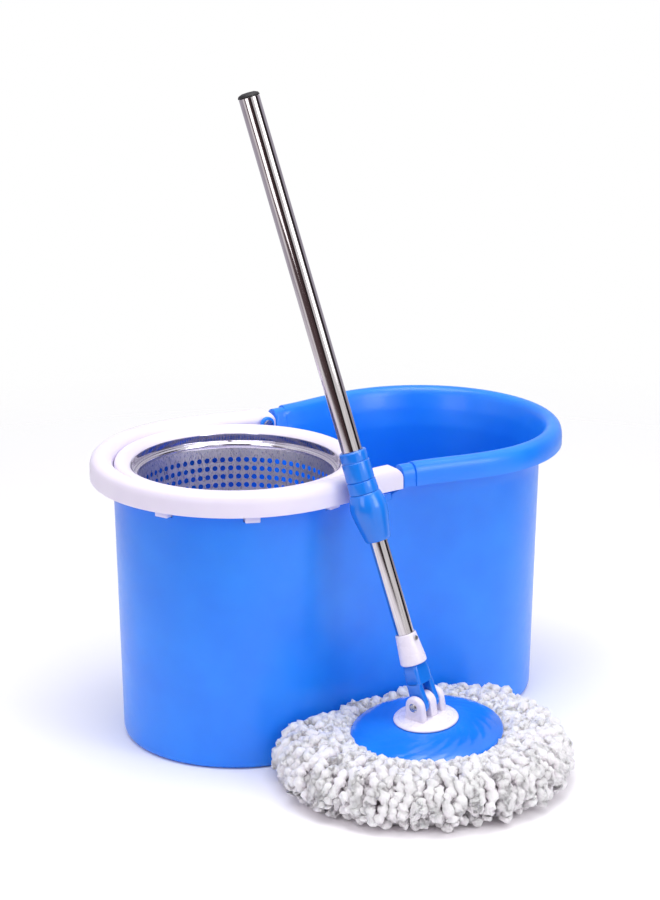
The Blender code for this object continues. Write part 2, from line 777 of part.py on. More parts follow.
def build_hub():
    hub = turned(
        "hub_base",
        [
            (0, -HUB_DROP + 0.0065),
            (0.0130, -HUB_DROP + 0.0064),
            (0.0240, -HUB_DROP + 0.0050),
            (HUB_RADIUS - 0.0008, -HUB_DROP + 0.0025),
            (HUB_RADIUS, -HUB_DROP + 0.0012),
            (HUB_RADIUS - 0.0008, -HUB_DROP),
            (0, -HUB_DROP),
        ],
        WHITE,
        HEAD,
        steps=32,
        loop=False,
    )
    spans = (
        ("lug_centre", -centre_half, centre_half),
        ("cheek_left", -cheek_high, -cheek_low),
        ("cheek_right", cheek_low, cheek_high),
    )
    for name, low, high in spans:
        join(hub, prism(name, lug_outline(), low, high, "X", None, HEAD))
    hole = round_bar(
        "hub_hole",
        HUB_PIN_RADIUS + RUN,
        -cheek_high - 0.002,
        cheek_high + 0.002,
        "X",
        None,
        HEAD,
        sides=16,
    )
    cut(hub, hole)

    top = -HUB_DROP - FIT
    plate = turned(
        "mop_plate",
        [
            (0, top),
            (HUB_RADIUS + 0.0010, top),
            (0.0500, top - 0.0027),
            (0.0640, top - 0.0062),
            (PLATE_RADIUS - 0.0022, top - 0.0096),
            (PLATE_RADIUS, top - 0.0120),
            (PLATE_RADIUS - 0.0004, top - 0.0135),
            (PLATE_RADIUS - 0.0046, top - 0.0126),
            (0.0620, top - 0.0056 - PLATE_THICKNESS),
            (0.0450, top - 0.0019 - PLATE_THICKNESS),
            (HUB_RADIUS, top - PLATE_THICKNESS),
            (0, top - PLATE_THICKNESS),
        ],
        DEEP_BLUE,
        HEAD,
        steps=40,
        loop=False,
    )
    under = top - PLATE_THICKNESS
    screw = [
        (0, -HUB_DROP + 0.0030),
        (SCREW_RADIUS, -HUB_DROP + 0.0025),
        (SCREW_RADIUS, under - FIT),
        (0.0034, under - FIT),
        (0.0030, under - FIT - 0.0018),
        (0, under - FIT - 0.0020),
    ]
    for number, (x, y) in screw_places():
        place = HEAD @ Matrix.Translation((x, y, 0))
        screw_hole = round_bar(
            f"screw_hole_{number}",
            SCREW_RADIUS + FIT,
            under - 0.002,
            -HUB_DROP + 0.0030 + FIT,
            "Z",
            None,
            place,
            sides=12,
        )
        cut(hub, screw_hole)
        cut(plate, screw_hole)
        turned(f"hub_screw_{number}", screw, STEEL, place, steps=12, loop=False)


def build_hub_pin():
    tip = cheek_high + FIT
    frame = HEAD @ Matrix.Rotation(math.pi / 2, 4, "Y")
    turned(
        "hub_pin",
        [
            (0, tip + 0.0012),
            (0.0036, tip + 0.0010),
            (0.0046, tip),
            (HUB_PIN_RADIUS, tip),
            (HUB_PIN_RADIUS, -tip),
            (0.0046, -tip),
            (0.0036, -tip - 0.0010),
            (0, -tip - 0.0012),
        ],
        STEEL,
        frame,
        steps=20,
        loop=False,
    )


def build_refill():
    top = -HUB_DROP - FIT - 0.0135
    turned(
        "refill_ring",
        [
            (0.0475, top + 0.0060),
            (0.0475, top - FIT),
            (PLATE_RADIUS - 0.0046, top - FIT),
            (PLATE_RADIUS - 0.0046, top - 0.0036),
            (0.0450, top - 0.0036),
            (0.0450, top + 0.0060),
        ],
        WHITE,
        HEAD,
        steps=32,
    )
    # The strands are one soft ring here. Behind, they are pushed flat against the bucket.
    gap_to_bucket = 0.0040
    stations = 36
    sections = []
    for i in range(stations):
        turn = 2 * math.pi * i / stations
        away = Vector((math.cos(turn), math.sin(turn)))
        reach = PLATE_RADIUS + 0.004
        while reach < STRAND_RADIUS - STRAND_TUCK * max(0, -away.y):
            x, y = plate_centre.xy + reach * away
            if abs(x) < BASIN_OFFSET:
                wall_y = -side_y(x, wall_radius(STRAND_CREST)) - gap_to_bucket
            else:
                beside = abs(x) - BASIN_OFFSET
                radius = wall_radius(STRAND_CREST) + gap_to_bucket
                wall_y = -math.sqrt(max(radius**2 - beside**2, 0))
            if y > wall_y:
                break
            reach += 0.0005
        bed = PLATE_RADIUS + 0.0030
        spread = reach - bed
        profile = [
            (STRAND_HOLE, 0.0),
            (bed + 0.80 * spread, 0.0),
            (bed + 0.95 * spread, 0.0060),
            (bed + spread, 0.40 * STRAND_CREST),
            (bed + 0.92 * spread, 0.70 * STRAND_CREST),
            (bed + 0.70 * spread, 0.92 * STRAND_CREST),
            (bed + 0.40 * spread, STRAND_CREST),
            (bed + 0.12 * spread, 0.94 * STRAND_CREST),
            (bed, 0.84 * STRAND_CREST),
            (bed - 0.0010, STRAND_BED),
            (STRAND_HOLE, STRAND_BED),
        ]
        sections.append(
            [(*(plate_centre.xy + radius * away), height) for radius, height in profile]
        )
    loft("mop_strands", sections, COTTON, cyclic=True)


# ---------------------------------------------------------------- pole
def twisted_bar(name, low, high, growth, finish, frame=None, rise=0.0040):
    """A flat strip twisted about Z, one turn per lead, from low to high."""
    half_width, half_thickness = ROD_WIDTH / 2 + growth, ROD_THICKNESS / 2 + growth
    corners = [
        Vector((sx * half_width, sy * half_thickness, 0))
        for sx, sy in ((-1, -1), (1, -1), (1, 1), (-1, 1))
    ]
    count = max(1, math.ceil((high - low) / rise))
    sections = []
    for i in range(count + 1):
        z = low + (high - low) * i / count
        turn = Matrix.Rotation(2 * math.pi * z / ROD_LEAD, 3, "Z")
        sections.append([turn @ corner + Vector((0, 0, z)) for corner in corners])
    return loft(name, sections, finish, frame)


def build_fork():
    half_depth = 0.0088
    bridge_top = CONNECTOR_Z - FIT
    fork = prism(
        "fork",
        [
            (-arm_high, BRIDGE_Z),
            (arm_high, BRIDGE_Z),
            (arm_high, bridge_top - 0.0080),
            (arm_high - 0.0012, bridge_top),
            (-arm_high + 0.0012, bridge_top),
            (-arm_high, bridge_top - 0.0080),
        ],
        -half_depth,
        half_depth,
        "Y",
        DEEP_BLUE,
        POLE,
    )
    for name, low, high in (("left", -arm_high, -arm_low), ("right", arm_low, arm_high)):
        outline = arc((0, 0), 0.0095, 180, 360, 10) + [
            (half_depth - 0.0004, BRIDGE_Z + 0.0030),
            (-half_depth + 0.0004, BRIDGE_Z + 0.0030),
        ]
        join(fork, prism(f"arm_{name}", outline, low, high, "X", None, POLE))
    spigot = round_bar(
        "fork_spigot",
        LOWER_TUBE_RADIUS - 0.0010,
        bridge_top - 0.004,
        TUBE_SEAT_Z - 0.0010,
        "Z",
        None,
        POLE,
    )
    hole = round_bar(
        "fork_hole",
        HUB_PIN_RADIUS + RUN,
        -arm_high - 0.002,
        arm_high + 0.002,
        "X",
        None,
        POLE,
        sides=16,
    )
    join(fork, spigot)
    cut(fork, hole)


def build_lower_pole():
    bore = LOWER_TUBE_RADIUS + FIT
    connector = turned(
        "connector",
        [
            (bore, CONNECTOR_TOP),
            (bore + 0.0006, CONNECTOR_TOP),
            (bore + 0.0012, CONNECTOR_TOP - 0.0010),
            (CONNECTOR_RADIUS - 0.0004, CONNECTOR_Z + 0.0060),
            (CONNECTOR_RADIUS, CONNECTOR_Z + 0.0030),
            (CONNECTOR_RADIUS - 0.0004, CONNECTOR_Z + 0.0008),
            (CONNECTOR_RADIUS - 0.0014, CONNECTOR_Z),
            (LOWER_TUBE_RADIUS - 0.0007, CONNECTOR_Z),
            (LOWER_TUBE_RADIUS - 0.0007, TUBE_SEAT_Z - FIT),
            (bore, TUBE_SEAT_Z - FIT),
        ],
        WHITE,
        POLE,
    )
    tube = turned(
        "lower_tube",
        [
            (LOWER_TUBE_RADIUS, LOWER_TUBE_TOP),
            (LOWER_TUBE_RADIUS, TUBE_SEAT_Z),
            (LOWER_TUBE_RADIUS - TUBE_WALL, TUBE_SEAT_Z),
            (LOWER_TUBE_RADIUS - TUBE_WALL, LOWER_TUBE_TOP),
        ],
        STEEL,
        POLE,
    )
    screw_z = CONNECTOR_TOP - 0.0055
    place = POLE @ Matrix.Translation((0, 0, screw_z)) @ Matrix.Rotation(math.pi / 2, 4, "X")
    head_low = LOWER_TUBE_RADIUS + 0.0026
    screw_hole = round_bar(
        "connector_screw_hole",
        SCREW_RADIUS + FIT,
        LOWER_TUBE_RADIUS - 0.0030,
        head_low + 0.004,
        "Z",
        None,
        place,
        sides=12,
    )
    cut(connector, screw_hole)
    cut(tube, screw_hole)
    turned(
        "connector_screw",
        [
            (0, head_low + 0.0014),
            (0.0020, head_low + 0.0012),
            (0.0026, head_low),
            (SCREW_RADIUS, head_low),
            (SCREW_RADIUS, LOWER_TUBE_RADIUS - 0.0018),
            (0, LOWER_TUBE_RADIUS - 0.0022),
        ],
        STEEL,
        place,
        steps=12,
        loop=False,
    )


tube_bore = UPPER_TUBE_RADIUS - TUBE_WALL
bush_low = LOWER_TUBE_TOP + 0.0046
nut_low = bush_low + 0.0025
nut_high = nut_low + NUT_THICKNESS
nut_outer = tube_bore - 0.0003 - 0.0012 - RUN


def build_drive():
    plug = LOWER_TUBE_RADIUS - TUBE_WALL - FIT
    turned(
        "clutch_sleeve",
        [
            (ROD_HOLE_RADIUS, bush_low - FIT),
            (LOWER_TUBE_RADIUS - 0.0002, bush_low - FIT),
            (LOWER_TUBE_RADIUS - 0.0002, LOWER_TUBE_TOP + FIT),
            (plug, LOWER_TUBE_TOP + FIT),
            (plug, LOWER_TUBE_TOP - 0.0150),
            (ROD_HOLE_RADIUS + 0.0006, LOWER_TUBE_TOP - 0.0150),
            (ROD_HOLE_RADIUS, LOWER_TUBE_TOP - 0.0120),
        ],
        ACETAL,
        POLE,
        steps=24,
    )
    bush_outer = tube_bore - 0.0003
    cap_low = nut_high + FIT
    turned(
        "guide_bush",
        [
            (ROD_HOLE_RADIUS, bush_low),
            (bush_outer, bush_low),
            (bush_outer, cap_low + 0.0060),
            (nut_outer + RUN, cap_low + 0.0060),
            (nut_outer + RUN, nut_low - FIT),
            (ROD_HOLE_RADIUS, nut_low - FIT),
        ],
        ACETAL,
        POLE,
        steps=24,
    )
    nut = round_bar("drive_nut", nut_outer, nut_low, nut_high, "Z", ACETAL, POLE, sides=24)
    slot = twisted_bar("nut_slot", nut_low - 0.003, nut_high + 0.003, RUN, None, POLE, 0.0015)
    cut(nut, slot)
    turned(
        "bush_cap",
        [
            (ROD_HOLE_RADIUS, cap_low + 0.0035),
            (nut_outer - FIT + RUN, cap_low + 0.0035),
            (nut_outer - FIT + RUN, cap_low),
            (ROD_HOLE_RADIUS, cap_low),
        ],
        ACETAL,
        POLE,
        steps=24,
    )


def build_upper_pole():
    turned(
        "upper_tube",
        [
            (UPPER_TUBE_RADIUS, UPPER_TUBE_TOP),
            (UPPER_TUBE_RADIUS, UPPER_TUBE_Z),
            (tube_bore, UPPER_TUBE_Z),
            (tube_bore, UPPER_TUBE_TOP),
        ],
        STEEL,
        POLE,
    )
    plug = tube_bore - FIT
    cap_low = UPPER_TUBE_TOP + FIT
    turned(
        "end_cap",
        [
            (0, cap_low + 0.0045),
            (0.0060, cap_low + 0.0042),
            (UPPER_TUBE_RADIUS - 0.0005, cap_low + 0.0028),
            (UPPER_TUBE_RADIUS + 0.0004, cap_low + 0.0012),
            (UPPER_TUBE_RADIUS + 0.0004, cap_low),
            (plug, cap_low),
            (plug, UPPER_TUBE_TOP - 0.0180),
            (0, UPPER_TUBE_TOP - 0.0180),
        ],
        DARK,
        POLE,
        steps=24,
        loop=False,
    )
    twisted_bar("twist_rod", ROD_Z, ROD_TOP, 0, STEEL, POLE)
    anchor = round_bar(
        "rod_anchor", plug, ROD_TOP - 0.0120, ROD_TOP + 0.0060, "Z", ACETAL, POLE, sides=24
    )
    pocket = twisted_bar(
        "anchor_pocket", ROD_TOP - 0.0150, ROD_TOP + FIT, RUN, None, POLE, 0.0015
    )
    cut(anchor, pocket)


def build_collar():
    bore = UPPER_TUBE_RADIUS + FIT
    neck_low = BARREL_TOP - 0.0160
    groove = 0.0007
    sleeve_low = BARREL_TOP + FIT
    turned(
        "collar_sleeve",
        [
            (bore, SLEEVE_TOP),
            (SLEEVE_RADIUS - 0.0012, SLEEVE_TOP),
            (SLEEVE_RADIUS, SLEEVE_TOP - 0.0012),
            (SLEEVE_RADIUS, SLEEVE_TOP - 0.0095),
            (SLEEVE_RADIUS - groove, SLEEVE_TOP - 0.0103),
            (SLEEVE_RADIUS + 0.0003, SLEEVE_TOP - 0.0111),
            (SLEEVE_RADIUS + 0.0006, SLEEVE_TOP - 0.0285),
            (SLEEVE_RADIUS - groove, SLEEVE_TOP - 0.0293),
            (SLEEVE_RADIUS + 0.0008, SLEEVE_TOP - 0.0301),
            (SLEEVE_RADIUS + 0.0012, sleeve_low),
            (bore + 0.0021, sleeve_low),
            (bore + 0.0021, neck_low),
            (bore, neck_low),
        ],
        DEEP_BLUE,
        POLE,
    )
    wedge_outer = LOWER_TUBE_RADIUS + 0.0025
    chamber = wedge_outer + 0.0004
    turned(
        "lock_barrel",
        [
            (bore + 0.0024, BARREL_TOP),
            (SLEEVE_RADIUS + 0.0008, BARREL_TOP),
            (SLEEVE_RADIUS + 0.0018, BARREL_TOP - 0.0014),
            (BARREL_RADIUS - 0.0009, BARREL_TOP - 0.0080),
            (BARREL_RADIUS, BARREL_TOP - 0.0150),
            (BARREL_RADIUS - 0.0009, BARREL_TOP - 0.0230),
            (BARREL_RADIUS - 0.0030, BARREL_TOP - 0.0340),
            (BARREL_RADIUS - 0.0055, BARREL_Z + 0.0020),
            (BARREL_RADIUS - 0.0065, BARREL_Z),
            (LOWER_TUBE_RADIUS + 0.0006, BARREL_Z),
            (LOWER_TUBE_RADIUS + 0.0006, BARREL_Z + 0.0035),
            (chamber, BARREL_Z + 0.0060),
            (chamber, UPPER_TUBE_Z - 0.0015),
            (bore + 0.0024, UPPER_TUBE_Z + 0.0020),
        ],
        DEEP_BLUE,
        POLE,
    )
    wedge = turned(
        "lock_wedge",
        [
            (LOWER_TUBE_RADIUS + FIT, UPPER_TUBE_Z - 0.0025),
            (wedge_outer - 0.0008, UPPER_TUBE_Z - 0.0025),
            (wedge_outer, UPPER_TUBE_Z - 0.0060),
            (wedge_outer, BARREL_Z + 0.0070),
            (LOWER_TUBE_RADIUS + FIT, BARREL_Z + 0.0070),
        ],
        ACETAL,
        POLE,
        steps=24,
    )
    split = block(
        "wedge_split", (0, -0.0010, BARREL_Z), (0.020, 0.0010, UPPER_TUBE_Z), None, POLE
    )
    cut(wedge, split)


build_bucket()
build_spindle()
build_basket_ring()
build_carry_handle()
build_handle_pins()
build_basket()
build_hub()
build_hub_pin()
build_refill()
build_fork()
build_lower_pole()
build_drive()
build_upper_pole()
build_collar()
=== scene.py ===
import math
import random

import bmesh
import bpy
from mathutils import Matrix, Vector, noise


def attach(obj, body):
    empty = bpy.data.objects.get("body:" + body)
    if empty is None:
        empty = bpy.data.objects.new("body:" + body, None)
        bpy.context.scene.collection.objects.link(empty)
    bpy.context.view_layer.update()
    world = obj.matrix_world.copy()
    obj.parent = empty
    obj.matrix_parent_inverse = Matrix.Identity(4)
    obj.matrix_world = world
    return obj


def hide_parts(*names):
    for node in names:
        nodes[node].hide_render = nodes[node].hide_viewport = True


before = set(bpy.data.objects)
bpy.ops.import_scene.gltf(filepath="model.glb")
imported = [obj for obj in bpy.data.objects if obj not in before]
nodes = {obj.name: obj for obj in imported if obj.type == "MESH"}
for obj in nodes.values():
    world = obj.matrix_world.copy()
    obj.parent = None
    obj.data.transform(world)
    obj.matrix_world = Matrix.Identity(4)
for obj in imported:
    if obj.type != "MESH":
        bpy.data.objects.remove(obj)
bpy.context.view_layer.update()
scene = bpy.context.scene
mm = 0.001


def vec(x, y, z):
    return Vector((x, y, z))


# ---- camera and studio

cameraSetting = {
    "place": (-1.2545, -1.9824, 0.9699),
    "pitch": -0.2879,
    "heading": 0.5636,  # from +Y towards +X
    "lens": 96.0,
}
studio = {
    "floorRadius": 2.6,
    "floorColour": "#FBFAFC",
    "backdrop": "#FFFFFF",
    "room": 0.92,
    "topLight": 20.0,
    "keyLight": 9.5,
    "fillLight": 5.5,
}


def linear(hexText, alpha=1.0):
    values = []
    for i in (1, 3, 5):
        c = int(hexText[i : i + 2], 16) / 255
        values.append(c / 12.92 if c <= 0.04045 else ((c + 0.055) / 1.055) ** 2.4)
    return (*values, alpha)


def addNode(tree, kind, settings=None, links=None):
    node = tree.nodes.new(kind)
    for key, value in (settings or {}).items():
        if isinstance(key, str) and hasattr(node, key):
            setattr(node, key, value)
        else:
            node.inputs[key].default_value = value
    for key, source in (links or {}).items():
        tree.links.new(source, node.inputs[key])
    return node


def aimAt(item, target):
    item.rotation_euler = (Vector(target) - item.location).to_track_quat("-Z", "Y").to_euler()


def placeCamera():
    camera = bpy.data.objects.new("camera", bpy.data.cameras.new("camera"))
    scene.collection.objects.link(camera)
    camera.location = cameraSetting["place"]
    camera.rotation_euler = (
        math.pi / 2 + cameraSetting["pitch"],
        0,
        -cameraSetting["heading"],
    )
    camera.data.lens = cameraSetting["lens"]
    camera.data.sensor_width = 36
    scene.camera = camera


def softbox(name, place, target, width, height, power, shape="RECTANGLE"):
    light = bpy.data.lights.new(name, "AREA")
    light.shape = shape
    light.size = width
    light.size_y = height
    light.energy = power
    lamp = bpy.data.objects.new(name, light)
    scene.collection.objects.link(lamp)
    lamp.location = place
    aimAt(lamp, target)
    return lamp


def studioWorld():
    world = bpy.data.worlds.new("softRoom")
    scene.world = world
    world.use_nodes = True
    tree = world.node_tree
    tree.nodes.clear()
    where = addNode(tree, "ShaderNodeTexCoord").outputs["Generated"]
    heading = cameraSetting["heading"]
    right = addNode(
        tree,
        "ShaderNodeVectorMath",
        {"operation": "DOT_PRODUCT", 1: (math.cos(heading), -math.sin(heading), 0)},
        {0: where},
    )
    front = addNode(
        tree,
        "ShaderNodeVectorMath",
        {"operation": "DOT_PRODUCT", 1: (-math.sin(heading), -math.cos(heading), 0)},
        {0: where},
    )
    angle = addNode(
        tree,
        "ShaderNodeMath",
        {"operation": "ARCTAN2"},
        {0: right.outputs["Value"], 1: front.outputs["Value"]},
    )
    share = addNode(
        tree,
        "ShaderNodeMapRange",
        {"From Min": -math.pi, "From Max": math.pi},
        {"Value": angle.outputs[0]},
    )
    # flags and softboxes that stand round the table, seen only as reflections
    ramp = addNode(tree, "ShaderNodeValToRGB", None, {"Fac": share.outputs["Result"]})
    stops = (
        (-180, "#D8D6E0"),
        (-100, "#C9C4D0"),
        (-84, "#C2BAC6"),
        (-74, "#FFFFFF"),
        (-62, "#F4EEF2"),
        (-54, "#6E5E60"),
        (-20, "#5B4A4C"),
        (2, "#4A3A3C"),
        (9, "#150F12"),
        (15, "#1A1518"),
        (20, "#FFFFFF"),
        (72, "#FFFFFF"),
        (80, "#2A2226"),
        (102, "#241C20"),
        (112, "#B8B4C0"),
        (180, "#D8D6E0"),
    )
    elements = ramp.color_ramp.elements
    while len(elements) < len(stops):
        elements.new(0.5)
    for element, (degrees, colour) in zip(elements, stops):
        element.position = (degrees + 180) / 360
        element.color = linear(colour)
    # overhead and underfoot the room is plain white
    split = addNode(tree, "ShaderNodeSeparateXYZ", None, {0: where})
    level = addNode(
        tree, "ShaderNodeMath", {"operation": "ABSOLUTE"}, {0: split.outputs["Z"]}
    )
    above = addNode(
        tree,
        "ShaderNodeMapRange",
        {"From Min": 0.50, "From Max": 0.75},
        {"Value": level.outputs[0]},
    )
    room = addNode(
        tree,
        "ShaderNodeMix",
        {"data_type": "RGBA", "B": linear("#F2F1F6")},
        {"Factor": above.outputs["Result"], "A": ramp.outputs["Color"]},
    )
    lit = addNode(
        tree,
        "ShaderNodeBackground",
        {"Strength": studio["room"]},
        {"Color": room.outputs["Result"]},
    )
    seen = addNode(
        tree, "ShaderNodeBackground", {"Color": linear(studio["backdrop"]), "Strength": 1.0}
    )
    path = addNode(tree, "ShaderNodeLightPath")
    mix = addNode(
        tree,
        "ShaderNodeMixShader",
        None,
        {0: path.outputs["Is Camera Ray"], 1: lit.outputs[0], 2: seen.outputs[0]},
    )
    addNode(tree, "ShaderNodeOutputWorld", None, {"Surface": mix.outputs[0]})


def studioFloor():
    work = bmesh.new()
    bmesh.ops.create_circle(
        work, cap_ends=True, segments=96, radius=studio["floorRadius"]
    )
    data = bpy.data.meshes.new("floor")
    work.to_mesh(data)
    work.free()
    floor = bpy.data.objects.new("floor", data)
    scene.collection.objects.link(floor)
    finish = bpy.data.materials.new("paleFloor")
    finish.use_nodes = True
    tree = finish.node_tree
    tree.nodes.clear()
    where = addNode(tree, "ShaderNodeTexCoord").outputs["Object"]
    away = addNode(tree, "ShaderNodeVectorMath", {"operation": "LENGTH"}, {0: where})
    fade = addNode(
        tree,
        "ShaderNodeMapRange",
        {"From Min": 0.45, "From Max": 1.5, "interpolation_type": "SMOOTHSTEP"},
        {"Value": away.outputs["Value"]},
    )
    card = addNode(
        tree, "ShaderNodeBsdfDiffuse", {"Color": linear(studio["floorColour"])}
    )
    clear = addNode(tree, "ShaderNodeBsdfTransparent")
    mix = addNode(
        tree,
        "ShaderNodeMixShader",
        None,
        {0: fade.outputs["Result"], 1: card.outputs[0], 2: clear.outputs[0]},
    )
    addNode(tree, "ShaderNodeOutputMaterial", None, {"Surface": mix.outputs[0]})
    data.materials.append(finish)


placeCamera()
studioWorld()
studioFloor()
softbox("topLight", (-0.1, -0.25, 1.9), (0, -0.05, 0.2), 1.5, 1.2, studio["topLight"])
softbox("keyLight", (0.62, -1.75, 1.15), (0, 0, 0.2), 0.8, 1.1, studio["keyLight"])
softbox("fillLight", (-1.6, -0.75, 0.9), (0, 0, 0.2), 0.8, 1.0, studio["fillLight"])
scene.view_settings.view_transform = "Standard"
print("studio ready")


# ---- materials


def startMaterial(name):
    finish = bpy.data.materials.new(name)
    finish.use_nodes = True
    tree = finish.node_tree
    tree.nodes.clear()
    where = addNode(tree, "ShaderNodeTexCoord").outputs["Object"]
    return finish, tree, where


def endMaterial(tree, settings, links, height=None, depth=0.0):
    if height is not None:
        bump = addNode(
            tree,
            "ShaderNodeBump",
            {"Strength": 1.0, "Distance": depth},
            {"Height": height},
        )
        links["Normal"] = bump.outputs["Normal"]
    shader = addNode(tree, "ShaderNodeBsdfPrincipled", settings, links)
    addNode(tree, "ShaderNodeOutputMaterial", None, {"Surface": shader.outputs[0]})


def mottle(tree, where, size, low, high, detail=2.0):
    # size is the width of one patch in metres
    grain = addNode(
        tree,
        "ShaderNodeTexNoise",
        {"Scale": 1 / size, "Detail": detail, "Roughness": 0.5},
        {"Vector": where},
    )
    spread = addNode(
        tree,
        "ShaderNodeMapRange",
        {"From Min": 0.3, "From Max": 0.7, "To Min": low, "To Max": high},
        {"Value": grain.outputs["Fac"]},
    )
    return spread.outputs["Result"]


def shadeMix(tree, factor, dark, light):
    mix = addNode(
        tree,
        "ShaderNodeMix",
        {"data_type": "RGBA", "A": linear(dark), "B": linear(light)},
        {"Factor": factor},
    )
    return mix.outputs["Result"]


def mouldedPlastic(
    name, dark, light, rough, coat=0.0, skin=0.6, depth=0.02, soft=0.0, radius=(1, 1, 1)
):
    # Injection moulded: a faint orange peel from the tool, and a slow drift in colour and gloss
    finish, tree, where = startMaterial(name)
    drift = mottle(tree, where, 60 * mm, 0.0, 1.0)
    gloss = mottle(tree, where, 9 * mm, rough - 0.03, rough + 0.04)
    peel = mottle(tree, where, skin * mm, 0.0, 1.0, 1.0)
    settings = {"Coat Weight": coat, "Coat Roughness": 0.12, "IOR": 1.49}
    if soft:
        settings.update(
            {
                "Subsurface Weight": soft,
                "Subsurface Radius": radius,
                "Subsurface Scale": 2 * mm,
            }
        )
    links = {"Base Color": shadeMix(tree, drift, dark, light), "Roughness": gloss}
    endMaterial(tree, settings, links, peel, depth * mm)
    return finish


def rolledSteel(name, dark, light, rough, grain=(1, 1, 1), size=1.2, depth=0.004):
    # Cold rolled stainless sheet and tube: fine lines from the rolls, nearly mirror bright
    finish, tree, where = startMaterial(name)
    lines = addNode(
        tree, "ShaderNodeMapping", {"Scale": grain}, {"Vector": where}
    ).outputs["Vector"]
    streak = mottle(tree, lines, size * mm, 0.0, 1.0)
    gloss = mottle(tree, lines, size * mm, rough * 0.8, rough * 1.25)
    links = {"Base Color": shadeMix(tree, streak, dark, light), "Roughness": gloss}
    endMaterial(tree, {"Metallic": 1.0}, links, streak, depth * mm)
    return finish


materialSetting = {
    "bucketBlue": ("#1480F6", "#1B8AFE"),
    "headBlue": ("#0F6EDC", "#1A80EE"),
    "lavenderWhite": ("#E8E1F5", "#EFE9F9"),
}

bucketPolypropylene = mouldedPlastic(
    "mouldedPolypropyleneBlue",
    *materialSetting["bucketBlue"],
    0.32,
    coat=0.15,
    soft=0.3,
    radius=(0.15, 0.6, 1.0),
)
headAbs = mouldedPlastic(
    "mouldedAbsBlue", *materialSetting["headBlue"], 0.2, coat=0.35, skin=1.4, depth=0.01
)
whitePolypropylene = mouldedPlastic(
    "mouldedPolypropyleneWhite",
    *materialSetting["lavenderWhite"],
    0.33,
    soft=0.25,
    radius=(1.0, 0.8, 1.0),
)
whiteAbs = mouldedPlastic("mouldedAbsWhite", "#E4DDEC", "#EFE9F6", 0.26, coat=0.2)
naturalAcetal = mouldedPlastic("turnedAcetalNatural", "#D9D6CB", "#E4E1D8", 0.42)
blackPolypropylene = mouldedPlastic("mouldedPolypropyleneBlack", "#161517", "#232225", 0.5)
brightTube = rolledSteel("drawnStainlessTube", "#BDB6B8", "#D6D1D3", 0.09, (1, 1, 0.04))
brightSheet = rolledSteel("pressedStainlessSheet", "#D6D4D9", "#E8E6EA", 0.30, (1, 1, 0.3))
brightRoll = rolledSteel("rolledStainlessEdge", "#D2CFDA", "#E6E3EE", 0.06, (1, 1, 0.3))
plainSteel = rolledSteel("turnedStainless", "#B4B2B4", "#CFCDCF", 0.24)


def twistedMicrofibre():
    # Chenille strands of split polyester: no gloss, a soft sheen at the edges, fine loops all over
    finish, tree, where = startMaterial("twistedMicrofibreWhite")
    tone = mottle(tree, where, 22 * mm, 0.0, 1.0)
    loops = addNode(
        tree,
        "ShaderNodeTexVoronoi",
        {"Scale": 1 / (2.4 * mm), "feature": "SMOOTH_F1"},
        {"Vector": where},
    )
    fuzz = mottle(tree, where, 1.2 * mm, 0.0, 1.0, 3.0)
    relief = addNode(
        tree,
        "ShaderNodeMath",
        {"operation": "SUBTRACT"},
        {0: fuzz, 1: loops.outputs["Distance"]},
    )
    settings = {
        "Roughness": 0.95,
        "Sheen Weight": 0.35,
        "Sheen Roughness": 0.5,
        "Subsurface Weight": 0.7,
        "Subsurface Radius": (1.0, 0.9, 0.97),
        "Subsurface Scale": 12 * mm,
        "Specular IOR Level": 0.2,
    }
    links = {"Base Color": shadeMix(tree, tone, "#FBF2F9", "#FFFAFE")}
    endMaterial(tree, settings, links, relief.outputs[0], 0.5 * mm)
    return finish


microfibre = twistedMicrofibre()

nodeFinish = {
    "bucket_body": bucketPolypropylene,
    "spindle_pin": plainSteel,
    "basket_ring": whitePolypropylene,
    "handle_pin_front": plainSteel,
    "handle_pin_back": plainSteel,
    "carry_handle": whitePolypropylene,
    "basket_shell": brightSheet,
    "basket_base": whitePolypropylene,
    "basket_bush": naturalAcetal,
    "mop_plate": headAbs,
    "hub_base": whiteAbs,
    "hub_pin": plainSteel,
    "refill_ring": whitePolypropylene,
    "mop_strands": microfibre,
    "fork": headAbs,
    "connector": whiteAbs,
    "connector_screw": plainSteel,
    "lower_tube": brightTube,
    "clutch_sleeve": naturalAcetal,
    "guide_bush": naturalAcetal,
    "bush_cap": naturalAcetal,
    "drive_nut": naturalAcetal,
    "upper_tube": brightTube,
    "twist_rod": plainSteel,
    "rod_anchor": naturalAcetal,
    "end_cap": blackPolypropylene,
    "collar_sleeve": headAbs,
    "lock_wedge": naturalAcetal,
    "lock_barrel": headAbs,
}
for name, piece in nodes.items():
    finish = nodeFinish.get(name, plainSteel)
    piece.data.materials.clear()
    piece.data.materials.append(finish)
print("materials on", len(nodes), "nodes")


# ---- shapes shared by several pieces

headSetting = {
    "pivot": (-0.027, -0.212, 0.080),
    "pinTurn": 18,  # degrees from the bucket's long axis
    "roll": 5,
    "lean": 17,
    "plateBelowPin": 0.0190,
}
bucketSetting = {
    "basinOffset": 0.1125,
    "height": 0.2920,
    "footRadius": 0.1170,
    "neckRadius": 0.1217,
    "wall": 0.0024,
    "waist": 0.0130,
    "rimRadius": 0.1450,
    "rimSkirt": 0.0235,
    "rimWall": 0.0025,
    "neckDrop": 0.0420,
    "ledgeDrop": 0.0200,
    "ledgeRadius": 0.1405,
    "floor": 0.0030,
    "footEdge": 0.0060,
    "stepLength": 0.0150,  # the rim beside the handle's ends is a little lower
    "stepDrop": 0.0016,
}
pinX, pinDrop, bossRadius = -0.0130, 0.0130, 0.0080
basinOffset = bucketSetting["basinOffset"]
rimZ = bucketSetting["height"]
neckZ = rimZ - bucketSetting["neckDrop"]
ledgeZ = rimZ - bucketSetting["ledgeDrop"]
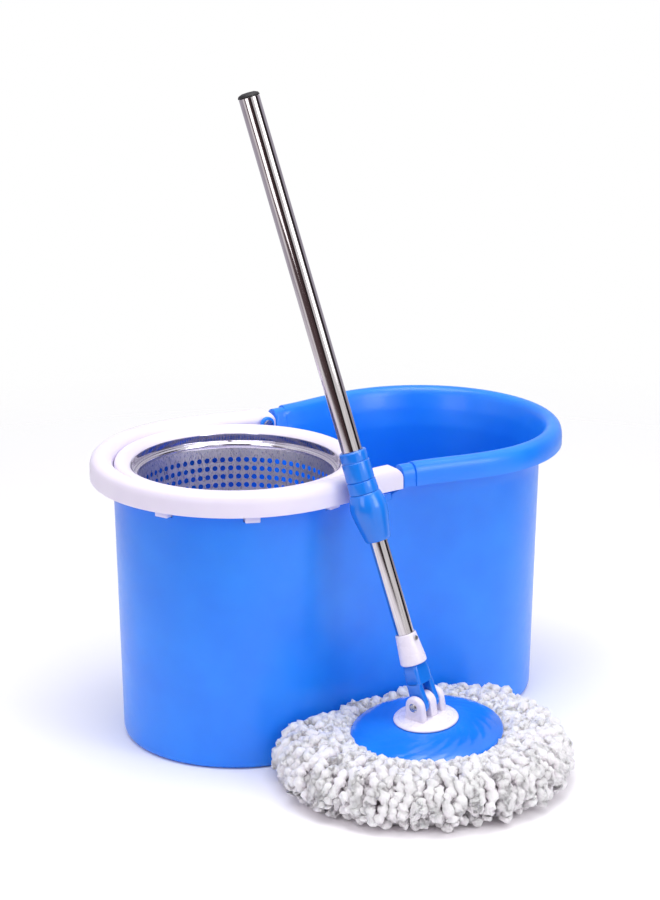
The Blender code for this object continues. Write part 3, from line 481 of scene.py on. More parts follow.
skirtZ = rimZ - bucketSetting["rimSkirt"]
pinZ = rimZ - pinDrop
basketAxis = Matrix.Translation((-basinOffset, 0, 0))

pinTurn, roll, lean = (
    math.radians(headSetting[key]) for key in ("pinTurn", "roll", "lean")
)
pinAxis = vec(
    math.cos(pinTurn) * math.cos(roll), math.sin(pinTurn) * math.cos(roll), math.sin(roll)
)
headUp = (vec(0, 0, 1) - pinAxis.z * pinAxis).normalized()


def frameOf(origin, xAxis, zAxis):
    turn = Matrix((xAxis, zAxis.cross(xAxis), zAxis)).transposed().to_4x4()
    return Matrix.Translation(origin) @ turn


headFrame = frameOf(headSetting["pivot"], pinAxis, headUp)
poleFrame = frameOf(
    headSetting["pivot"],
    pinAxis,
    headFrame.to_3x3() @ vec(0, math.sin(lean), math.cos(lean)),
)
plateCentre = headFrame @ vec(0, 0, -headSetting["plateBelowPin"])


def fillet(points, radius, closed=True, count=3):
    # rounds each corner of an outline, never past 0.42 of the shorter side beside it
    result = []
    for i, point in enumerate(points):
        if not closed and i in (0, len(points) - 1):
            result.append(tuple(point))
            continue
        here = Vector(point)
        first = Vector(points[i - 1]) - here
        last = Vector(points[(i + 1) % len(points)]) - here
        back = min(radius, 0.42 * first.length, 0.42 * last.length)
        a = here + first.normalized() * back
        b = here + last.normalized() * back
        for k in range(count + 1):
            t = k / count
            result.append(tuple((1 - t) ** 2 * a + 2 * t * (1 - t) * here + t * t * b))
    return result


def arc(centre, radius, start, end, count):
    turns = [math.radians(start + (end - start) * i / count) for i in range(count + 1)]
    return [(centre[0] + radius * math.cos(t), centre[1] + radius * math.sin(t)) for t in turns]


def addTurned(work, profile, steps=72, closed=True, place=None):
    # an outline of (radius, height) turned about Z; an open one starts and ends on the axis
    rings = []
    for i in range(steps):
        turn = 2 * math.pi * i / steps
        rings.append(
            [
                work.verts.new((place or Matrix()) @ vec(r * math.cos(turn), r * math.sin(turn), z))
                for r, z in profile
            ]
        )
    made = [v for ring in rings for v in ring]
    for ring, after in zip(rings, rings[1:] + rings[:1]):
        for k in range(len(profile) if closed else len(profile) - 1):
            n = (k + 1) % len(profile)
            work.faces.new((ring[k], after[k], after[n], ring[n]))
    bmesh.ops.remove_doubles(work, verts=made, dist=1e-7)


def addLoft(work, sections, closed=False, place=None):
    put = place or Matrix()
    rows = [[work.verts.new(put @ Vector(p)) for p in section] for section in sections]
    pairs = list(zip(rows, rows[1:] + rows[:1])) if closed else list(zip(rows, rows[1:]))
    for low, high in pairs:
        for i in range(len(low)):
            j = (i + 1) % len(low)
            work.faces.new((low[i], low[j], high[j], high[i]))
    if not closed:
        work.faces.new(rows[0])
        work.faces.new(rows[-1])


def addRounded(work, outline, low, high, axis, edge, place=None):
    # an extruded outline whose two rims are rounded over by edge
    order = {
        "X": lambda a, b, c: (c, a, b),
        "Y": lambda a, b, c: (a, c, b),
        "Z": lambda a, b, c: (a, b, c),
    }[axis]
    middle = sum((Vector(p) for p in outline), Vector((0, 0))) / len(outline)
    sections = []
    for level, inset in (
        (low, 1.0),
        (low + 0.15 * edge, 0.5),
        (low + 0.5 * edge, 0.15),
        (low + edge, 0.0),
        (high - edge, 0.0),
        (high - 0.5 * edge, 0.15),
        (high - 0.15 * edge, 0.5),
        (high, 1.0),
    ):
        section = []
        for point in outline:
            out = Vector(point) - middle
            a, b = middle + out * (1 - inset * edge / max(out.length, 1e-6))
            section.append(order(a, b, level))
        sections.append(section)
    addLoft(work, sections, place=place)


def finishPiece(name, work, finish, body, replaced=(), place=None, sharp=35):
    bmesh.ops.recalc_face_normals(work, faces=work.faces)
    data = bpy.data.meshes.new(name)
    work.to_mesh(data)
    work.free()
    data.shade_smooth()
    data.set_sharp_from_angle(angle=math.radians(sharp))
    data.materials.append(finish)
    piece = bpy.data.objects.new(name, data)
    scene.collection.objects.link(piece)
    piece.matrix_world = place or Matrix()
    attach(piece, body)
    if replaced:
        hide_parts(*replaced)
    return piece


# ---- bucket


def waistAt(x):
    if abs(x) >= basinOffset:
        return 0.0
    return bucketSetting["waist"] * (0.5 + 0.5 * math.cos(math.pi * x / basinOffset))


def wallRadius(z):
    foot, neck = bucketSetting["footRadius"], bucketSetting["neckRadius"]
    return foot + (neck - foot) * z / neckZ


def wallY(x, z, gap):
    # the front wall's place at x, less a gap
    radius = wallRadius(z) + gap
    if abs(x) < basinOffset:
        return waistAt(x) - radius
    beside = abs(x) - basinOffset
    return -math.sqrt(max(radius**2 - beside**2, 0))


def sideStation(x, sign):
    return lambda radius: (x, sign * (radius - waistAt(x)))


def arcStation(side, angle):
    turn = math.radians(angle)
    return lambda radius: (
        side * basinOffset + radius * math.cos(turn),
        radius * math.sin(turn),
    )


neckOut, neckIn = wallRadius(neckZ), wallRadius(neckZ) - bucketSetting["wall"]
handleEndX, rimStartX, ledgeEndX = -0.0005, 0.0015, pinX - bossRadius - 0.0060
seam = 0.0005  # how quickly one outline turns into the next


def rimOutline(drop=0.0):
    out, wall = bucketSetting["rimRadius"] - drop, bucketSetting["rimWall"]
    top, inside = rimZ - drop, bucketSetting["rimRadius"] - bucketSetting["rimWall"]
    return [
        (neckOut, neckZ),
        (neckOut + 0.0028, top - 0.0230),
        (neckOut + 0.0073, top - 0.0095),
        (neckOut + 0.0128, top - 0.0055),
        (inside - 0.0040, top - 0.0070),
        (inside - 0.0013, top - 0.0120),
        (inside - drop, skirtZ),
        (out, skirtZ),
        (out, top - 0.0115),
        (out - 0.0018, top - 0.0050),
        (out - 0.0055, top - 0.0015),
        (out - 0.0105, top),
        (out - 0.0155, top - 0.0018),
        (neckIn + 0.0069, top - 0.0070),
        (neckIn + 0.0029, top - 0.0220),
        (neckIn, neckZ),
    ]


def ledgeOutline():
    edge, under = bucketSetting["ledgeRadius"], ledgeZ - bucketSetting["rimWall"]
    return [
        (neckOut, neckZ),
        (neckOut + 0.0001, neckZ + 0.0100),
        (neckOut + 0.0002, under - 0.0020),
        (neckOut + 0.0025, under),
        (neckOut + 0.0100, under),
        (edge - 0.0030, under),
        (edge - 0.0004, under + 0.0001),
        (edge, under + 0.0006),
        (edge, ledgeZ - 0.0006),
        (edge - 0.0004, ledgeZ - 0.0001),
        (edge - 0.0030, ledgeZ),
        (neckOut + 0.0100, ledgeZ),
        (neckOut + 0.0025, ledgeZ),
        (neckIn + 0.0003, ledgeZ),
        (neckIn + 0.0002, neckZ + 0.0100),
        (neckIn, neckZ),
    ]


def notchOutline():
    rise = 0.0075
    shares = (0, 0.2, 0.4, 0.55, 0.7, 0.8, 0.9, 1)
    return [(neckOut, neckZ + rise * s) for s in shares] + [
        (neckIn, neckZ + rise * s) for s in shares[::-1]
    ]


def span(first, last, step):
    count = max(1, math.ceil(abs(last - first) / step))
    return [first + (last - first) * i / count for i in range(count + 1)]


def makeBucket():
    turns = 56
    stepX = bucketSetting["stepLength"]
    low, high = rimOutline(bucketSetting["stepDrop"]), rimOutline()
    near = [(x, low) for x in span(rimStartX + seam, stepX, 0.005)]
    far = [(x, high) for x in span(stepX + seam, basinOffset, 0.008)[:-1]]
    beside = near + far
    ledge, notch = ledgeOutline(), notchOutline()
    ledgeXs = span(ledgeEndX, -basinOffset, 0.008)[:-1]
    stations = [(sideStation(x, -1), o) for x, o in beside]
    stations += [(arcStation(1, -90 + 180 * i / turns), high) for i in range(turns + 1)]
    stations += [(sideStation(x, 1), o) for x, o in beside[::-1]]
    stations += [(sideStation(x, 1), notch) for x in (rimStartX, pinX, ledgeEndX + seam)]
    stations += [(sideStation(x, 1), ledge) for x in ledgeXs]
    stations += [(arcStation(-1, 90 + 180 * i / turns), ledge) for i in range(turns + 1)]
    stations += [(sideStation(x, -1), ledge) for x in ledgeXs[::-1]]
    stations += [(sideStation(x, -1), notch) for x in (ledgeEndX + seam, pinX, rimStartX)]

    base, edge, wall = (bucketSetting[key] for key in ("footRadius", "footEdge", "wall"))
    foot = [(base - edge, 0), (base - 0.25 * edge, 0.3 * edge), (wallRadius(edge), edge)]
    foot += [(wallRadius(z), z) for z in (0.06, 0.12, 0.18)]
    inside = [(wallRadius(z) - wall, z) for z in (0.18, 0.12, 0.06, 0.010)]
    inside += [
        (wallRadius(0.010) - wall - 0.0030, bucketSetting["floor"] + 0.0015),
        (wallRadius(0.010) - wall - 0.0085, bucketSetting["floor"]),
    ]
    rims = (low, high, ledge, notch)
    outlines = {id(o): fillet(foot + o + inside, 0.0028, False, 2) for o in rims}
    sections = []
    for row in range(len(outlines[id(high)])):
        section = []
        for station, outline in stations:
            radius, z = outlines[id(outline)][row]
            section.append((*station(radius), z))
        sections.append(section)
    work = bmesh.new()
    addLoft(work, sections)

    post = [
        (0, 0.1295),
        (0.0040, 0.1295),
        (0.0045, 0.1300),
        (0.0145, 0.1300),
        (0.0155, 0.1290),
        (0.0240, 0.0070),
        (0.0280, 0.0020),
        (0, 0.0020),
    ]
    addTurned(work, fillet(post, 0.002, False, 3), 48, False, basketAxis)
    for sign in (-1, 1):
        face = neckOut - waistAt(pinX) - 0.0014
        outline = [(pinX + bossRadius, neckZ - 0.012)]
        outline += arc((pinX, pinZ), bossRadius, 0, 180, 24)
        outline += [(pinX - bossRadius, neckZ - 0.012)]
        sides = sorted((sign * face, sign * (face - 0.0040)))
        addRounded(work, outline, *sides, "Y", 0.0008)
    bucket = finishPiece("bucketShell", work, bucketPolypropylene, "bucket")

    cutters = bmesh.new()
    for angle in hookSetting["angles"]:
        place = basketAxis @ Matrix.Rotation(math.radians(angle), 4, "Z")
        half, low, rise = (hookSetting[key] for key in ("halfWidth", "low", "rise"))
        place = place @ Matrix.Translation((0.1225, 0, low + rise / 2))
        place = place @ Matrix.Diagonal((0.020, 2 * half + 0.002, rise + 0.002, 1))
        bmesh.ops.create_cube(cutters, size=1, matrix=place)
    data = bpy.data.meshes.new("windows")
    cutters.to_mesh(data)
    cutters.free()
    windows = bpy.data.objects.new("windows", data)
    scene.collection.objects.link(windows)
    opening = bucket.modifiers.new("windows", "BOOLEAN")
    opening.object = windows
    opening.operation = "DIFFERENCE"
    opening.solver = "EXACT"
    applyModifiers(bucket)
    bpy.data.objects.remove(windows)
    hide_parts("bucket_body")
    return bucket


def applyModifiers(piece):
    bpy.context.view_layer.update()
    shaped = piece.evaluated_get(bpy.context.evaluated_depsgraph_get())
    data = bpy.data.meshes.new_from_object(shaped)
    piece.modifiers.clear()
    piece.data = data


# ---- basket ring and carry handle

hookSetting = {
    "angles": (-154, -113, -72, 72, 113, 154),
    "halfWidth": 0.00725,
    "low": 0.2583,
    "rise": 0.0072,
    "reach": 0.1285,
}


def makeBasketRing():
    top, seat, skirtLow = rimZ - 0.0050, ledgeZ + 0.0003, 0.2543
    outer, inner, skirt, wall = 0.1212, 0.1045, 0.1185, 0.0020
    profile = [
        (outer, seat),
        (outer, top - 0.0060),
        (outer - 0.0015, top - 0.0018),
        (outer - 0.0052, top),
        (outer - 0.0100, top - 0.0010),
        (inner + 0.0020, top - 0.0045),
        (inner, top - 0.0068),
        (inner, top - 0.0130),
        (inner + wall, top - 0.0130),
        (inner + wall, top - 0.0075),
        (outer - 0.0098, top - 0.0035),
        (skirt - wall - 0.0008, top - 0.0030),
        (skirt - wall, top - 0.0060),
        (skirt - wall, skirtLow),
        (skirt, skirtLow),
        (skirt, seat),
    ]
    work = bmesh.new()
    addTurned(work, fillet(profile, 0.0025), 128, True, basketAxis)
    for angle in hookSetting["angles"]:
        half, low, rise = (hookSetting[key] for key in ("halfWidth", "low", "rise"))
        outline = fillet([(-half, low), (half, low), (half, low + rise), (-half, low + rise)], 0.001)
        place = basketAxis @ Matrix.Rotation(math.radians(angle), 4, "Z")
        addRounded(work, outline, skirt - wall / 2, hookSetting["reach"], "X", 0.0007, place)
    finishPiece(
        "basketRing", work, whitePolypropylene, "bucket", ["basket_ring"]
    )


def makeCarryHandle():
    inner, out, wall = 0.1222, bucketSetting["rimRadius"], bucketSetting["rimWall"]
    top = rimZ
    outside = [
        (out - wall, skirtZ),
        (out, skirtZ),
        (out, top - 0.0085),
        (out - 0.0018, top - 0.0035),
        (out - 0.0055, top - 0.0008),
        (out - 0.0110, top),
        (inner + 0.0063, top - 0.0012),
        (inner + 0.0021, top - 0.0045),
        (inner, top - 0.0090),
        (inner, ledgeZ + 0.0003),
        (inner + wall, ledgeZ + 0.0003),
    ]
    ceiling = [
        (inner + wall, top - 0.0100),
        (inner + 0.0053, top - 0.0058),
        (out - 0.0115, top - 0.0028),
        (out - 0.0055, top - 0.0040),
        (out - wall, top - 0.0080),
    ]
    filled = [(r, skirtZ + 0.0005) for r, z in ceiling]
    hollow, solid = (fillet(outside + part, 0.0032) for part in (ceiling, filled))
    endRadius = handleEndX - pinX

    def section(station, outline, x=None):
        # the end is rounded about the pin, so that it clears the rim as it swings up
        cap = top
        if x is not None:
            cap = pinZ + math.sqrt(max(endRadius**2 - max(x - pinX, 0) ** 2, 0))
        return [(*station(r), min(z, cap)) for r, z in outline]

    endXs = [pinX + endRadius * math.sin(math.radians(a)) for a in range(90, -1, -6)]
    endXs += [pinX - 0.006, pinX - endRadius + seam]
    along = [(x, solid) for x in endXs] + [
        (x, hollow) for x in span(pinX - endRadius, -basinOffset, 0.008)[:-1]
    ]
    sections = [section(sideStation(x, 1), o, x) for x, o in along]
    sections += [section(arcStation(-1, 90 + 180 * i / 64), hollow) for i in range(65)]
    sections += [section(sideStation(x, -1), o, x) for x, o in along[::-1]]
    work = bmesh.new()
    addLoft(work, sections)
    finishPiece(
        "carryHandle", work, whitePolypropylene, "handle", ["carry_handle"]
    )


# ---- wringer basket

basketSetting = {
    "holeAcross": 0.0057,
    "columns": 74,
    "rows": 10,
    "rowPitch": 0.0088,
    "firstRow": 0.2540,
    "sheet": 0.0008,
    "beadRadius": 0.1003,
    "beadZ": 0.2692,
    "beadAcross": 0.0064,
    "collarTop": 0.2800,
}


def makeBasket():
    low, high = (0.0890, 0.1628), (0.0993, 0.2664)
    sheet, columns, rows = (basketSetting[key] for key in ("sheet", "columns", "rows"))
    pitch, firstRow = basketSetting["rowPitch"], basketSetting["firstRow"]
    hole, corner = basketSetting["holeAcross"] / 2, 12

    def radiusAt(z):
        return low[0] + (high[0] - low[0]) * (z - low[1]) / (high[1] - low[1])

    def point(across, z, inward):
        # across is in columns
        turn = 2 * math.pi * across / columns
        radius = radiusAt(z) - inward
        return (radius * math.cos(turn), radius * math.sin(turn), z)

    work = bmesh.new()
    # walls above and below the rows of holes, and the flat flange, as one turned sheet
    topEdge = firstRow + pitch / 2
    lowEdge = firstRow - (rows - 0.5) * pitch
    steps = columns * 3
    bead = (basketSetting["beadRadius"], basketSetting["beadZ"])
    across = basketSetting["beadAcross"] / 2
    collarR, collarTop = 0.1037, basketSetting["collarTop"]
    roll = [
        (radiusAt(topEdge) - sheet, topEdge),
        (radiusAt(topEdge), topEdge),
        (high[0], high[1]),
        *arc(bead, across, -80, 20, 8),
        (collarR - 0.0002, bead[1] + 0.0020),
        (collarR, bead[1] + 0.0030),
        (collarR, collarTop),
        (collarR - 0.0003, collarTop + 0.0004),
        (collarR - 0.0006, collarTop),
        (collarR - 0.0006, bead[1] + 0.0034),
        *arc(bead, across, 62, 190, 14),
        (high[0] - sheet, high[1]),
    ]
    addTurned(work, roll, steps)
    flange = [
        (0.0780, 0.1618),
        (0.0880, 0.1618),
        (0.0888, 0.1622),
        (radiusAt(lowEdge), lowEdge),
        (radiusAt(lowEdge) - sheet, lowEdge),
        (0.0882, 0.1632),
        (0.0876, 0.1626),
        (0.0780, 0.1626),
    ]
    addTurned(work, flange, steps)
    ringShape = []
    for k in range(corner):
        angle = math.radians(45 + 360 * k / corner)
        c, s = math.cos(angle), math.sin(angle)
        reach = 0.5 / max(abs(c), abs(s))
        ringShape.append(((hole * c, hole * s), (reach * c, reach * s)))
    for row in range(rows):
        z = firstRow - row * pitch
        width = 2 * math.pi * radiusAt(z) / columns
        for column in range(columns):
            faces = []
            for inward in (0, sheet):
                rim, edge = [], []
                for (hx, hz), (sx, sz) in ringShape:
                    rim.append(work.verts.new(point(column + hx / width, z + hz, inward)))
                    edge.append(work.verts.new(point(column + sx, z + sz * pitch, inward)))
                faces.append((rim, edge))
            for k in range(corner):
                n = (k + 1) % corner
                for rim, edge in faces:
                    work.faces.new((rim[k], edge[k], edge[n], rim[n]))
                (outer, _), (inside, _) = faces
                work.faces.new((outer[k], outer[n], inside[n], inside[k]))
    bmesh.ops.remove_doubles(work, verts=work.verts, dist=0.00002)
    basket = finishPiece(
        "perforatedBasket",
        work,
        brightSheet,
        "basket",
        ["basket_shell"],
        basketAxis,
        30,
    )
    # the edge is rolled over and polished, the wall keeps the mill's finish
    basket.data.materials.append(brightRoll)
    for face in basket.data.polygons:
        if face.center.z > high[1] - 0.0015:
            face.material_index = 1


# ---- mop head

plateSetting = {
    "radius": 0.0746,
    "vanes": 20,
    "vaneHeight": 0.00035,
    "sweep": 0.9,  # radians that a vane turns on its way out
}


def makePlate():
    top = -headSetting["plateBelowPin"] - 0.0003
    outer = [
        (0.0, top),
        (0.0328, top),
        (0.0420, top - 0.0011),
        (0.0500, top - 0.0027),
        (0.0580, top - 0.0045),
        (0.0640, top - 0.0062),
        (0.0690, top - 0.0081),
        (0.0724, top - 0.0096),
        (0.0740, top - 0.0108),
        (0.0746, top - 0.0120),
        (0.0745, top - 0.0132),
        (0.0742, top - 0.0135),
        (0.0700, top - 0.0126),
        (0.0620, top - 0.0085),
        (0.0450, top - 0.0048),
        (0.0318, top - 0.0029),
        (0.0, top - 0.0029),
    ]
    profile = []
    for (r0, z0), (r1, z1) in zip(outer, outer[1:]):
        count = 4 if 0.0328 <= r0 and r1 <= 0.0724 and z0 > top - 0.0100 else 1
        profile += [(r0 + (r1 - r0) * i / count, z0 + (z1 - z0) * i / count) for i in range(count)]
    profile.append(outer[-1])
    work = bmesh.new()
    addTurned(work, profile, 240, False)
    for v in work.verts:
        r = math.hypot(v.co.x, v.co.y)
        if v.co.z < top - 0.0100 or not 0.036 < r < 0.071:
            continue
        share = (r - 0.036) / 0.035
        turn = math.atan2(v.co.y, v.co.x) + plateSetting["sweep"] * share
        wave = math.cos(turn * plateSetting["vanes"])
        fade = math.sin(math.pi * share) ** 0.5
        v.co.z -= plateSetting["vaneHeight"] * fade * (0.5 - 0.5 * wave) ** 3
    finishPiece("mopPlate", work, headAbs, "mop_head", ["mop_plate"], headFrame)


lugSetting = {"centre": 0.0046, "gap": 0.0005, "arm": 0.0056, "cheek": 0.0078, "radius": 0.0105}
armLow = lugSetting["centre"] + lugSetting["gap"]
armHigh = armLow + lugSetting["arm"]
cheekLow = armHigh + lugSetting["gap"]
cheekHigh = cheekLow + lugSetting["cheek"]


def makeHub():
    seat = -headSetting["plateBelowPin"]
    disc = [
        (0, seat + 0.0065),
        (0.0130, seat + 0.0064),
        (0.0240, seat + 0.0052),
        (0.0262, seat + 0.0046),
        (0.0268, seat + 0.0037),
        (0.0276, seat + 0.0041),
        (0.0310, seat + 0.0025),
        (0.0318, seat + 0.0012),
        (0.0310, seat),
        (0, seat),
    ]
    work = bmesh.new()
    addTurned(work, fillet(disc, 0.0012, False), 96, False)
    radius = lugSetting["radius"]
    outline = arc((0, 0), radius, 0, 180, 28)
    outline += [(-radius - 0.0012, seat + 0.0030), (radius + 0.0012, seat + 0.0030)]
    spans = (
        (-lugSetting["centre"], lugSetting["centre"], 0.0009),
        (-cheekHigh, -cheekLow, 0.0030),
        (cheekLow, cheekHigh, 0.0030),
    )
    for low, high, edge in spans:
        addRounded(work, fillet(outline, 0.0008, True, 2), low, high, "X", edge)
    finishPiece("hubBase", work, whiteAbs, "mop_head", ["hub_base"], headFrame, 40)


# ---- pole


def poleTurned(name, profile, finish, body, replaced, radius=0.0008, steps=72):
    work = bmesh.new()
    addTurned(work, fillet(profile, radius), steps)
    finishPiece(name, work, finish, body, replaced, poleFrame)


def makeFork():
    top, bridge, depth = 0.0390, 0.0190, 0.0088
    work = bmesh.new()
    sections = []
    for z, halfX, halfY in (
        (bridge, armHigh - 0.0006, depth - 0.0008),
        (bridge + 0.0008, armHigh, depth),
        (bridge + 0.0100, armHigh, depth),
        (top - 0.0060, armHigh - 0.0002, depth),
        (top - 0.0012, armHigh - 0.0010, depth - 0.0006),
        (top, armHigh - 0.0018, depth - 0.0014),
    ):
        corners = [(-halfX, -halfY), (halfX, -halfY), (halfX, halfY), (-halfX, halfY)]
        sections.append([(a, b, z) for a, b in fillet(corners, 0.0040, True, 6)])
    addLoft(work, sections)
    for sign in (-1, 1):
        outline = arc((0, 0), 0.0095, 180, 360, 28)
        outline += [(0.0080, 0.0160), (depth - 0.0004, bridge + 0.0030)]
        outline += [(-depth + 0.0004, bridge + 0.0030), (-0.0080, 0.0160)]
        low, high = sorted((sign * armLow, sign * armHigh))
        addRounded(work, fillet(outline, 0.0015, True, 2), low, high, "X", 0.0012)
    spigot, low, high = 0.0078, top - 0.004, 0.0595
    addTurned(work, [(0, low), (spigot, low), (spigot, high), (0, high)], 32, False)
    finishPiece("forkJoint", work, headAbs, "lower_pole", ["fork"], poleFrame, 40)


def makePole():
    lowerR, upperR, sheet = 0.0088, 0.0100, 0.0008
    bore = lowerR + 0.0003
    connector = [
        (bore, 0.0700),
        (bore + 0.0006, 0.0700),
        (bore + 0.0012, 0.0690),
        (0.0126, 0.0470),
        (0.0131, 0.0425),
        (0.0129, 0.0402),
        (0.0118, 0.0393),
        (0.0081, 0.0393),
        (0.0081, 0.0602),
        (bore, 0.0602),
    ]
    poleTurned(
        "tubeConnector", connector, whiteAbs, "lower_pole", ["connector"], 0.0012
    )
    tubes = (
        ("lowerTube", lowerR, 0.0605, 0.3800, "lower_pole", "lower_tube"),
        ("upperTube", upperR, 0.1900, 0.6000, "upper_pole", "upper_tube"),
    )
    for name, radius, low, high, body, node in tubes:
        profile = [(radius, high), (radius, low), (radius - sheet, low), (radius - sheet, high)]
        poleTurned(name, profile, brightTube, body, [node], 0.0003)

    bore, sleeve, groove, top, barrelTop = upperR + 0.0003, 0.0133, 0.0007, 0.2545, 0.2130
    collar = [
        (bore, top),
        (sleeve - 0.0012, top),
        (sleeve, top - 0.0012),
        (sleeve, top - 0.0095),
        (sleeve - groove, top - 0.0103),
        (sleeve + 0.0003, top - 0.0111),
        (sleeve + 0.0006, top - 0.0285),
        (sleeve - groove, top - 0.0293),
        (sleeve + 0.0008, top - 0.0301),
        (sleeve + 0.0012, barrelTop + 0.0003),
        (bore + 0.0021, barrelTop + 0.0003),
        (bore + 0.0021, barrelTop - 0.0160),
        (bore, barrelTop - 0.0160),
    ]
    poleTurned("collarSleeve", collar, headAbs, "upper_pole", ["collar_sleeve"], 0.0004)
    barrelR, low = 0.0182, 0.1650
    barrel = [
        (bore + 0.0024, barrelTop),
        (sleeve + 0.0008, barrelTop),
        (sleeve + 0.0018, barrelTop - 0.0014),
        (barrelR - 0.0009, barrelTop - 0.0080),
        (barrelR, barrelTop - 0.0150),
        (barrelR - 0.0009, barrelTop - 0.0230),
        (barrelR - 0.0030, barrelTop - 0.0340),
        (barrelR - 0.0055, low + 0.0020),
        (barrelR - 0.0065, low),
        (lowerR + 0.0006, low),
        (lowerR + 0.0006, low + 0.0035),
        (lowerR + 0.0029, low + 0.0060),
        (lowerR + 0.0029, 0.1885),
        (bore + 0.0024, 0.1920),
    ]
    poleTurned("lockBarrel", barrel, headAbs, "lock", ["lock_barrel"], 0.0040)


# ---- strands

strandSetting = {
    "seed": 11,
    "across": 0.0105,
    "crest": 0.0530,
    "reach": 0.1510,
    "tuck": 0.0110,
    "bed": 0.0776,
    "layers": ((100, 0.0), (96, 0.0090), (88, 0.0180)),
    "floorCount": 100,
    "lump": 0.28,
    "wave": 0.0034,
    "wavelength": 0.034,
    "knot": 0.0086,  # length of one tuft along a strand
    "sides": 8,
    "step": 0.0026,
}


def strandReach(turn):
    away = Vector((math.cos(turn), math.sin(turn)))
    limit = strandSetting["reach"] - strandSetting["tuck"] * max(0, -away.y)
    reach = strandSetting["bed"] + 0.001
    while reach < limit:
        x, y = plateCentre.xy + reach * away
        if y > wallY(x, strandSetting["crest"], 0.0040):
            break
        reach += 0.0005
    return reach


def alongPath(points, share):
    lengths = [(b - a).length for a, b in zip(points, points[1:])]
    left = share * sum(lengths)
    for a, b, length in zip(points, points[1:], lengths):
        if left <= length:
            return a.lerp(b, left / length)
        left -= length
    return points[-1]


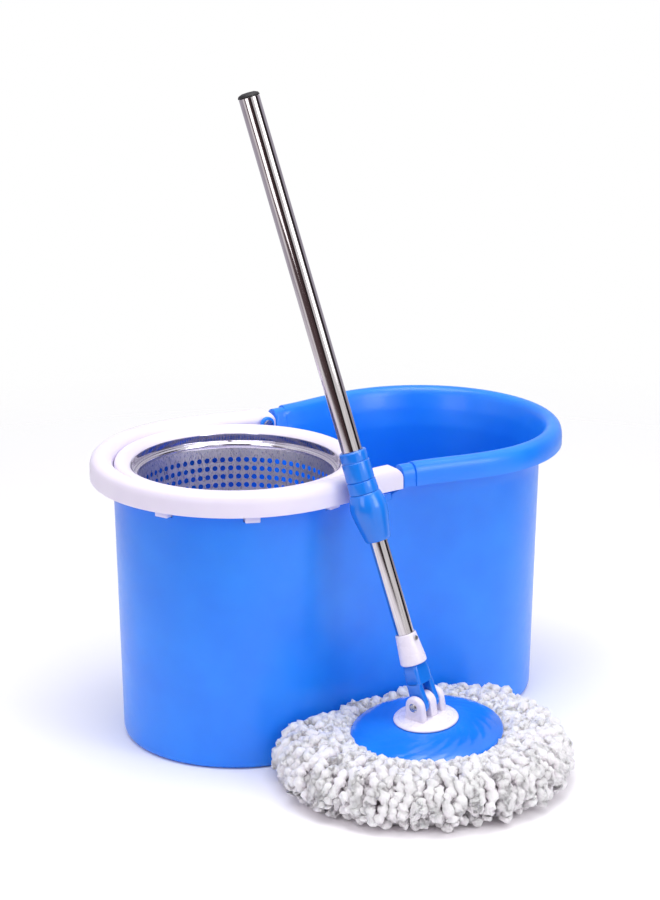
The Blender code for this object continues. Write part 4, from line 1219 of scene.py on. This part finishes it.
def addStrand(work, dice, turn, depth, onFloor=False):
    crest, across = strandSetting["crest"], strandSetting["across"]
    bed, rho = strandSetting["bed"], strandSetting["across"] / 2
    spread = strandReach(turn) - bed
    uneven = noise.noise((2.2 * math.cos(turn), 2.2 * math.sin(turn), depth * 90))
    high = crest + 0.004 * uneven - rho - depth
    path = [
        (0.0690, 0.0330 - 0.3 * depth),
        (bed - 0.001, min(high, 0.0440)),
        (bed + 0.14 * spread, high),
        (bed + 0.45 * spread, high - 0.0005),
        (bed + 0.72 * spread - 0.4 * depth, 0.92 * high),
        (bed + 0.93 * spread - rho - 0.5 * depth, 0.66 * high),
        (bed + spread - rho - 0.5 * depth, 0.36 * high),
        (bed + 0.96 * spread - rho - 0.5 * depth, rho + 0.0010),
    ]
    if onFloor:
        path = [
            (0.0850, 0.0120),
            (bed + 0.80 * spread - rho, 0.0090),
            (bed + spread - rho - 0.0020, 0.0070),
        ]
    path = [Vector(p) for p in fillet(path, 0.012, False, 4)]
    length = sum((b - a).length for a, b in zip(path, path[1:]))
    stop = dice.uniform(0.84, 1.0)
    count = max(8, round(length * stop / strandSetting["step"]))
    phase, second = dice.uniform(0, 6.28), dice.uniform(0, 6.28)
    lift, drift = dice.uniform(-0.001, 0.003), dice.uniform(-0.006, 0.006)
    wave, wavelength = strandSetting["wave"], strandSetting["wavelength"] * dice.uniform(0.8, 1.3)
    tuft = dice.uniform(0, 6.28)
    centres = []
    for i in range(count + 1):
        share = i / count
        r, z = alongPath(path, share * stop)
        run = share * stop * length
        grow = min(1, share * 3)
        side = grow * (wave * math.sin(2 * math.pi * run / wavelength + phase) + drift * share)
        z += grow * (0.6 * wave * math.sin(2 * math.pi * run / (0.8 * wavelength) + second) + lift)
        angle = turn + side / r
        centres.append(
            vec(
                plateCentre.x + r * math.cos(angle),
                plateCentre.y + r * math.sin(angle),
                max(z, rho * 0.85),
            )
        )
    rings = []
    sides = strandSetting["sides"]
    for i, centre in enumerate(centres):
        ahead = centres[min(i + 1, count)] - centres[max(i - 1, 0)]
        across3 = ahead.cross(vec(0, 0, 1))
        if across3.length < 1e-6:
            across3 = vec(1, 0, 0)
        across3.normalize()
        up3 = across3.cross(ahead).normalized()
        run = i * length * stop / count
        size = rho * (1 + strandSetting["lump"] * math.sin(2 * math.pi * run / strandSetting["knot"] + tuft))
        if i >= count - 1:
            size *= 0.78 if i == count - 1 else 0.35
        ring = []
        for k in range(sides):
            spin = 2 * math.pi * (k + 0.5 * (i % 2)) / sides
            out = across3 * math.cos(spin) + up3 * math.sin(spin)
            rough = noise.noise((centre + out * rho) * 260) * 0.0022
            rough += noise.noise((centre + out * rho) * 620) * 0.0009
            place = centre + out * (size + rough)
            limit = wallY(place.x, place.z, 0.0022)
            if place.y > limit:
                place.y = limit - 0.10 * (place.y - limit)
            place.z = max(place.z, 0.0004)
            ring.append(work.verts.new(place))
        rings.append(ring)
    for low, high in zip(rings, rings[1:]):
        for k in range(sides):
            n = (k + 1) % sides
            work.faces.new((low[k], low[n], high[n], high[k]))
    work.faces.new(rings[0])
    work.faces.new(rings[-1])


def makeStrands():
    dice = random.Random(strandSetting["seed"])
    work = bmesh.new()
    for number, depth in strandSetting["layers"]:
        for i in range(number):
            turn = 2 * math.pi * (i + dice.uniform(-0.35, 0.35)) / number
            addStrand(work, dice, turn, depth)
    for i in range(strandSetting["floorCount"]):
        turn = 2 * math.pi * (i + dice.uniform(-0.4, 0.4)) / strandSetting["floorCount"]
        addStrand(work, dice, turn, 0.0, True)
    # the band that the strands are sewn to, and the heap below them, close the gaps
    stations = 96
    heap = []
    for i in range(stations):
        turn = 2 * math.pi * i / stations
        bed = strandSetting["bed"]
        spread = max(strandReach(turn) - bed - 0.020, 0.002)
        high = strandSetting["crest"] - 0.017
        outline = [
            (0.0300, 0.0010),
            (bed + 0.85 * spread, 0.0010),
            (bed + spread, 0.0100),
            (bed + 0.95 * spread, 0.6 * high),
            (bed + 0.60 * spread, high),
            (bed - 0.004, 0.95 * high),
            (0.0690, 0.0325),
            (0.0300, 0.0325),
        ]
        outline = fillet(outline, 0.006, True, 2)
        c, s = math.cos(turn), math.sin(turn)
        heap.append([(plateCentre.x + r * c, plateCentre.y + r * s, z) for r, z in outline])
    addLoft(work, heap, True)
    finishPiece(
        "mopStrands", work, microfibre, "mop_head", ["mop_strands"], None, 180
    )


makeBucket()
makeBasketRing()
makeCarryHandle()
print("bucket, ring and handle")
makeBasket()
print("wringer basket")
makePlate()
makeHub()
makeFork()
makePole()
print("mop head and pole")
makeStrands()
print("strands")


# ---- finish
